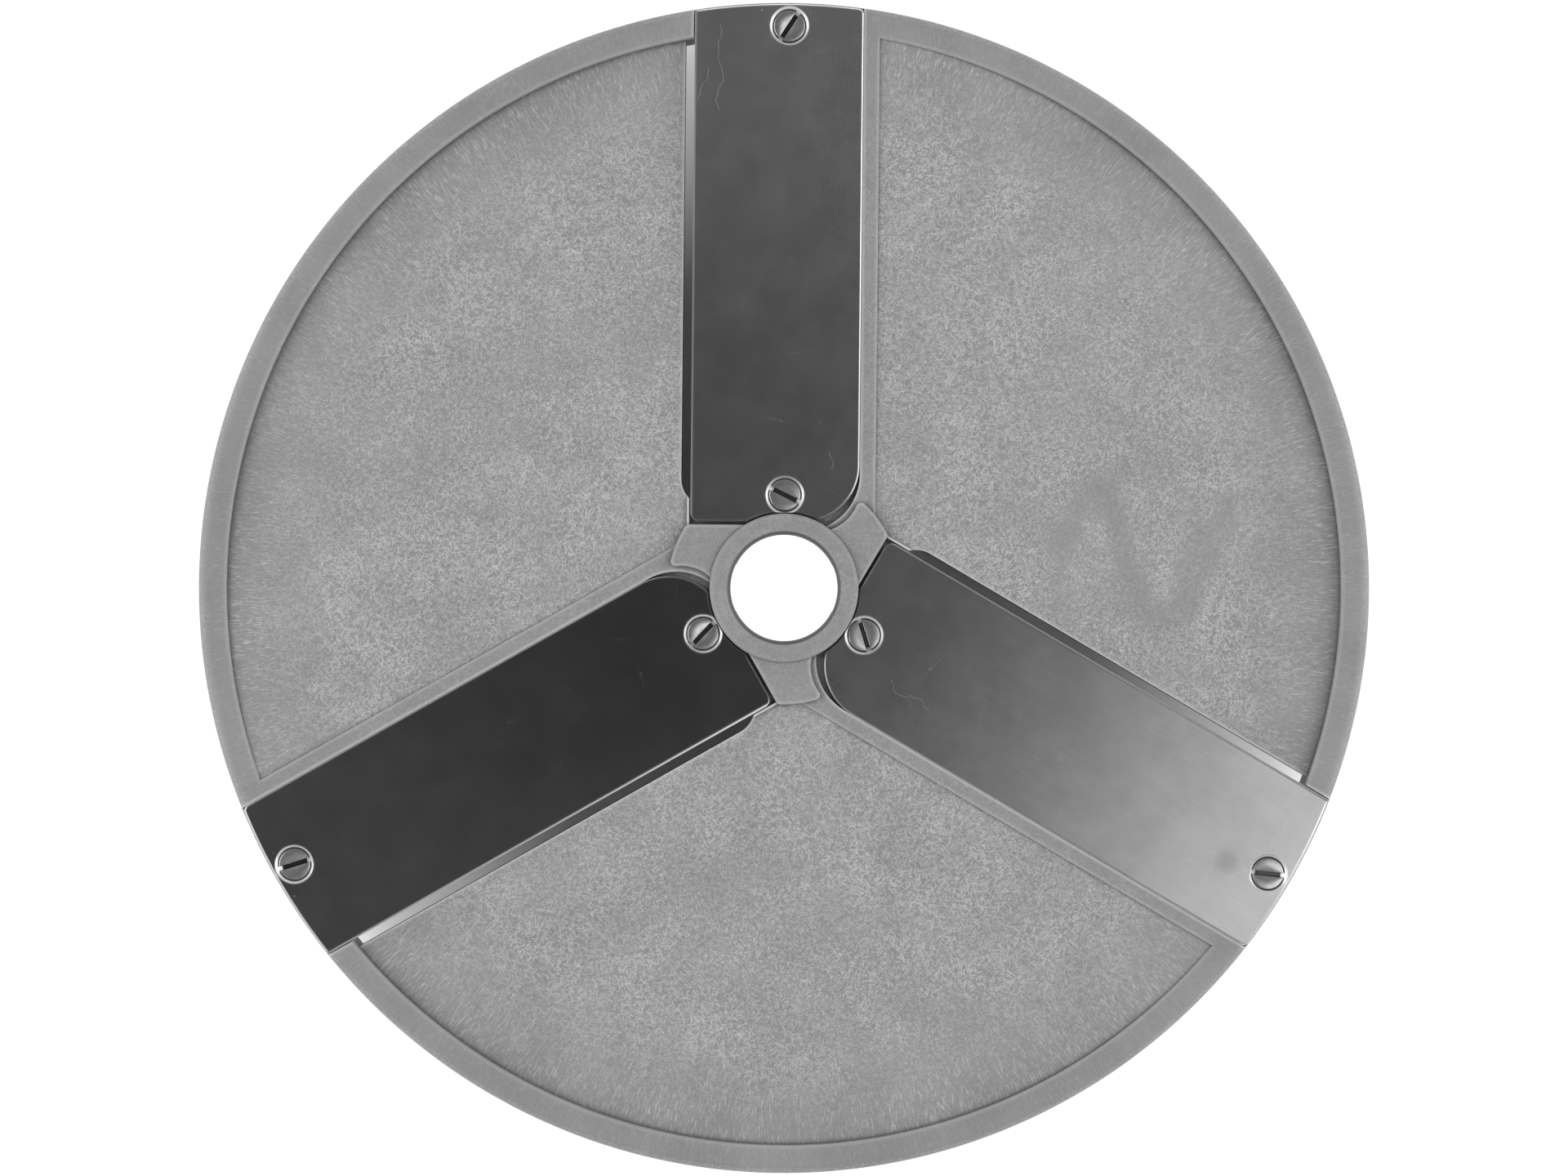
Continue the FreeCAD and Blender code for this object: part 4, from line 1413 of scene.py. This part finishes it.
@dataclass
class Blades:
    """The three ground blades, one outline turned to each seat."""

    finish: GroundSteel = field(default_factory=GroundSteel)
    width: float = 29.5 * MM
    heel: float = 13.0 * MM
    inner_end: float = 11.46 * MM
    heel_round: float = 10.0 * MM
    tip_round: float = 1.6 * MM
    rim_inset: float = 0.5 * MM
    outer_round: float = 1.0 * MM
    collar_clear: float = 13.2 * MM
    crease: float = 28.0
    edge_round: float = 0.35 * MM
    edge_steps: int = 4
    ground_width: float = 3.6 * MM
    ground_land: float = 0.15 * MM
    honed_width: float = 0.5 * MM
    honed_drop: float = 0.06 * MM
    hole_radius: float = 1.7 * MM
    sink_radius: float = 3.45 * MM
    hole_steps: int = 96

    def plan(self) -> Pen:
        """Draw the outline of the first blade, which lies along +Y.

        Returns:
            The pen, with the outline drawn.
        """
        reach = CAD_BOX[1].x - self.rim_inset
        edge, tip, small = self.heel - self.width, self.tip_round, self.outer_round
        corner = Vector((self.heel - self.heel_round, self.inner_end + self.heel_round))
        meeting = crossing(self.collar_clear, corner, self.heel_round)
        last = Vector((self.heel - small, on_circle(reach - small, self.heel - small)))
        pen = Pen("blade_1_steel", edge + tip, self.inner_end)
        pen.line(-on_circle(self.collar_clear, self.inner_end), self.inner_end)
        pen.arc(*meeting, (0, 0), Way.CLOCKWISE)
        pen.arc(self.heel, corner.y, tuple(corner), Way.ANTICLOCKWISE)
        pen.line(self.heel, last.y)
        pen.arc(*(last * (reach / last.length)), tuple(last), Way.ANTICLOCKWISE)
        pen.arc(edge, on_circle(reach, edge), (0, 0), Way.ANTICLOCKWISE)
        pen.line(edge, self.inner_end + tip)
        return pen.arc(edge + tip, self.inner_end, (edge + tip, self.inner_end + tip), Way.ANTICLOCKWISE)

    def stone(self, name: str, start: Vector, stop: Vector, over: float) -> Piece:
        """Make the wedge that a grinding stone takes off along the edge.

        Args:
            name: the wedge's name.
            start: where the ground face begins on the blade, x and z.
            stop: where it ends, at the cutting edge.
            over: how far the wedge goes past both, as a share of the face.

        Returns:
            The wedge.
        """
        run = (stop - start) * over
        near, far = start - run, stop + run
        wedge = outline(name, [near, far, (far.x, near.y)], upright=True)
        return wedge.pull(0, CAD_BOX[1].x + MM)

    def shape(self, bottom: float, top: float) -> Piece:
        """Cut, grind and round the first blade.

        Args:
            bottom: level of the seat that the blade lies on.
            top: level of the blade's top.

        Returns:
            The blade, before its holes.
        """
        edge = self.heel - self.width
        blade = self.plan().pull(bottom, top)
        ground = self.stone("ground_face", Vector((edge + self.ground_width, bottom)),
                            Vector((edge, top - self.ground_land)), 0.3)
        honed = self.stone("honed_face", Vector((edge + self.honed_width, top)),
                           Vector((edge, top - self.honed_drop)), 0.5)
        combine(blade, [ground, honed], Mix.CUT)
        mend(blade)
        limit = edge + self.honed_width + NEAR
        round_edges(blade, self.edge_round, self.edge_steps,
                    lambda a, b: min(a.z, b.z) > top - NEAR and max(a.x, b.x) > limit)
        mend(blade)
        return blade

    def drill(self, blade: Piece, places: list[Vector], top: float) -> None:
        """Cut the countersunk screw holes.

        Args:
            blade: the first blade.
            places: centres of its screws.
            top: level of the blade's top.
        """
        past = self.sink_radius + MM
        sink_foot = top - (self.sink_radius - self.hole_radius)
        drills = []
        for number, place in enumerate(places, 1):
            pen = Pen(f"drill_{number}", 0, 0, upright=True)
            pen.line(self.hole_radius, 0).line(self.hole_radius, sink_foot)
            pen.line(past, top + MM).line(0, top + MM)
            drill = pen.turn(self.hole_steps)
            drills.append(duplicate(drill, drill.name + "_placed", move=Vector((place.x, place.y, 0))))
            bpy.data.objects.remove(drill)
        combine(blade, drills, Mix.CUT)

    def build(self) -> list[Piece]:
        """Make the first blade and turn copies of it to the other seats.

        Returns:
            The three blades.
        """
        low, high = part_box("blade_1")
        first = self.shape(low.z, high.z)
        centres = [sum(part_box(f"{where}_screw_1"), Vector()) / 2 for where in ("outer", "inner")]
        self.drill(first, centres, high.z)
        smooth(first, self.crease)
        blades = [first]
        for number in range(2, BLADES + 1):
            blades.append(duplicate(first, f"blade_{number}_steel", NEXT * (number - 1)))
        for number, blade in enumerate(blades, 1):
            flatten_shading(blade)
            turn = NEXT * (number - 1)
            dress(blade, self.finish.material(number, turn, high.z))
            stand_for(blade, f"blade_{number}")
        return blades


@dataclass
class Screws:
    """The six slotted countersunk screws, one shape placed and turned."""

    finish: TurnedSteel = field(default_factory=TurnedSteel)
    head_radius: float = 2.75 * MM
    head_rim: float = 0.35 * MM
    head_round: float = 0.18 * MM
    shank_radius: float = 1.5 * MM
    length: float = 8.0 * MM
    slot_width: float = 0.8 * MM
    slot_depth: float = 0.85 * MM
    slot_round: float = 0.06 * MM
    crease: float = 30.0
    steps: int = 96
    slot_turns: tuple = (("outer", (57.0, -6.0, 18.0)), ("inner", (-26.0, -72.0, 47.0)))

    def shape(self) -> Piece:
        """Turn one screw with its top at the origin, and mill its slot.

        Returns:
            The screw.
        """
        pen = Pen("screw", 0, -self.length, upright=True)
        pen.line(self.shank_radius, -self.length)
        pen.line(self.shank_radius, -self.head_rim - self.head_radius + self.shank_radius)
        pen.line(self.head_radius, -self.head_rim)
        pen.line(self.head_radius, -self.head_round)
        pen.arc(self.head_radius - self.head_round, 0,
                (self.head_radius - self.head_round, -self.head_round), Way.ANTICLOCKWISE)
        pen.line(0, 0)
        screw = pen.turn(self.steps)
        half, past = self.slot_width / 2, self.head_radius * 2
        mill = rectangle("mill", -past, past, -half, half).pull(-self.slot_depth, self.slot_depth)
        combine(screw, [mill], Mix.CUT)
        mend(screw)
        near = NEAR / 2
        round_edges(screw, self.slot_round, 2,
                    lambda a, b: max(abs(abs(a.y) - half), abs(abs(b.y) - half)) < near
                    and max(abs(a.z), abs(b.z)) < near and abs(a.x - b.x) > near)
        mend(screw)
        return screw

    def build(self) -> list[Piece]:
        """Place a copy of the screw at each of its nodes.

        Returns:
            The six screws.
        """
        screw = self.shape()
        placed = []
        for where, turns in self.slot_turns:
            for number, degrees in enumerate(turns, 1):
                node = f"{where}_screw_{number}"
                low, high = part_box(node)
                top = Vector(((low.x + high.x) / 2, (low.y + high.y) / 2, high.z))
                copy = duplicate(screw, f"{node}_steel", degrees=degrees, move=top)
                smooth(copy, self.crease)
                flatten_shading(copy)
                dress(copy, self.finish.material(f"turned_stainless_steel_{where}_{number}", top))
                stand_for(copy, node)
                placed.append(copy)
        bpy.data.objects.remove(screw)
        return placed


@dataclass
class Inserts:
    """The brass inserts, which stay as their nodes."""

    finish: TurnedBrass = field(default_factory=TurnedBrass)

    def build(self) -> list[Piece]:
        """Give every insert its brass.

        Returns:
            The inserts.
        """
        brass = self.finish.material()
        inserts = [node for name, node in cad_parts.items() if "_insert_" in name]
        for insert in inserts:
            dress(insert, brass)
        return inserts


# The studio


@dataclass
class Studio:
    """A white table, two large soft lamps at the sides and the camera overhead."""

    paper_colour: str = "#F3F3F3"
    floor_reach: float = 4.0
    # Painted light on the table under each throat and in the bore, where the disc's shadow falls.
    painted_throat_light_zone: tuple[float, float] = (0.5, 0.95)
    painted_throat_light: float = 0.30
    table_edge: float = 2.0 * MM
    table_glow: float = 0.45
    painted_bore_light_reach: tuple[float, float] = (11.0 * MM, 13.0 * MM)
    lamp_reach: float = 0.85
    lamp_height: float = 0.62
    lamp_size: float = 0.9
    lamp_power: float = 6.7
    overhead_light: float = 0.06
    tent_light: float = 0.42
    tent_edge: float = 0.40
    wall_light: float = 1.0
    wall_fall: float = 2.5
    panel_tilt: float = 14.0
    panel_bearing: float = -30.0
    panel_spread: tuple[float, float] = (4.0, 11.0)
    panel_light: float = 2.6
    camera_height: float = 0.851
    focal_pixels: float = 5818.0
    sensor: float = 36.0
    roll: float = 0.56

    def floor(self) -> None:
        """Lay the white table, which shows paper white where the view meets it in the open, and is painted
        with light under each throat and in the bore.
        """
        deselect_all()
        bpy.ops.mesh.primitive_plane_add(size=self.floor_reach * 2)
        floor = bpy.context.object
        floor.name = "white_table"
        shades = Shades(bpy.data.materials.new("white_paper"))
        path = shades.add("LightPath").outputs
        rays = [path[f"Is {kind} Ray"] for kind in ("Camera", "Glossy", "Transmission")]
        seen = shades.chain("MAXIMUM", *rays)
        radius = shades.from_axis(shades.place)[1]
        rim = CAD_BOX[1].x
        # Painted light: under each throat the table glows brighter towards the rim, and in the bore it glows
        # white, over the disc's shadow.
        painted_light_radii = [rim * share for share in self.painted_throat_light_zone]
        below = shades.add("MapRange", (radius, *painted_light_radii, 0.0, self.painted_throat_light), **SOFT)
        outside = (radius, rim - self.table_edge, rim + self.table_edge, 0.0, self.table_glow)
        outside = shades.chain("MAXIMUM", below, shades.add("MapRange", outside, **SOFT))
        inside = shades.add("MapRange", (radius, *self.painted_bore_light_reach, 1.0, 0.0), **SOFT)
        glow = shades.chain("MULTIPLY", seen, shades.chain("ADD", outside, inside))
        paper = shades.add("BsdfDiffuse", {"Color": linear(self.paper_colour)})
        light = shades.add("Emission", {"Strength": glow})
        lit = shades.add("AddShader", (paper, light))
        under = shades.add("NewGeometry").outputs["Backfacing"]
        both = shades.add("MixShader", (under, lit, shades.add("BsdfTransparent")))
        dress(floor, shades.finish(both))

    def lamp(self, name: str, place: Vector, size: float, power: float) -> None:
        """Hang one square soft lamp that faces the disc.

        Args:
            name: the lamp's name.
            place: where its middle hangs.
            size: length of its side.
            power: its power in watts.
        """
        light = bpy.data.lights.new(name, "AREA")
        light.shape = "SQUARE"
        light.size = size
        light.energy = power
        lamp = bpy.data.objects.new(name, light)
        lamp.location = place
        lamp.rotation_euler = (-place).to_track_quat("-Z", "Y").to_euler()
        lamp.visible_camera = False
        bpy.context.collection.objects.link(lamp)

    def light(self) -> None:
        """Hang the lamps and set the dim sky above."""
        for name, side in (("right_softbox", 1), ("left_softbox", -1)):
            place = Vector((side * self.lamp_reach, 0, self.lamp_height))
            self.lamp(name, place, self.lamp_size, self.lamp_power)
        self.light_sky()

    def light_sky(self) -> None:
        """A tent that is dim overhead, paler all round, with white walls and one small panel."""
        sky = Shades(bpy.data.worlds.new("light_tent"))
        towards = sky.coordinates["Generated"]
        rise = {"Value": sky.from_axis(towards)[1], "From Max": self.tent_edge,
                "To Min": self.overhead_light, "To Max": self.tent_light}
        tent = sky.add("MapRange", rise)
        height = sky.add("SeparateXYZ", (towards,)).outputs["Z"]
        low = sky.add("MapRange", {"Value": height, "To Min": 1.0, "To Max": 0.0})
        walls = sky.chain("MULTIPLY", sky.chain("POWER", low, self.wall_fall), self.wall_light)
        tilt, bearing = math.radians(self.panel_tilt), math.radians(self.panel_bearing)
        level = math.sin(tilt)
        heading = (level * math.cos(bearing), level * math.sin(bearing), math.cos(tilt))
        facing = sky.add("VectorMath", (towards, heading), operation="DOT_PRODUCT")
        inner, outer = (math.cos(math.radians(angle)) for angle in self.panel_spread)
        panel = sky.add("MapRange", (facing, outer, inner, 0.0, self.panel_light), **SOFT)
        light = sky.chain("ADD", tent, walls, panel)
        seen = sky.add("LightPath").outputs["Is Camera Ray"]
        strength = sky.add("Mix", {0: seen, 2: light, 3: 1.0})
        sky.add("OutputWorld", {"Surface": sky.add("Background", {"Strength": strength})})
        bpy.context.scene.world = sky.owner

    def camera(self) -> None:
        """Hang the camera over the middle of the disc, looking straight down."""
        lens = bpy.data.cameras.new("camera")
        lens.sensor_fit = "HORIZONTAL"
        lens.sensor_width = self.sensor
        lens.lens = self.focal_pixels * self.sensor / PHOTO_WIDTH
        lens.clip_start = 0.01
        lens.clip_end = 20.0
        camera = bpy.data.objects.new("camera", lens)
        camera.location = (0, 0, self.camera_height)
        camera.rotation_euler = (0, 0, math.radians(self.roll))
        bpy.context.collection.objects.link(camera)
        bpy.context.scene.camera = camera
        bpy.context.scene.view_settings.view_transform = "Standard"

    def build(self) -> None:
        """Set up the table, the lamps and the camera."""
        self.floor()
        self.light()
        self.camera()


def main() -> None:
    """Build every sub-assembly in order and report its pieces."""
    logging.basicConfig(level=logging.INFO, format="%(name)s %(message)s")
    for assembly in (Moulding(), Blades(), Screws(), Inserts()):
        for piece in assembly.build():
            LOG.info("%s: %d faces", piece.name, len(piece.data.polygons))
    Studio().build()
    deselect_all()


if __name__ == "__main__":
    main()
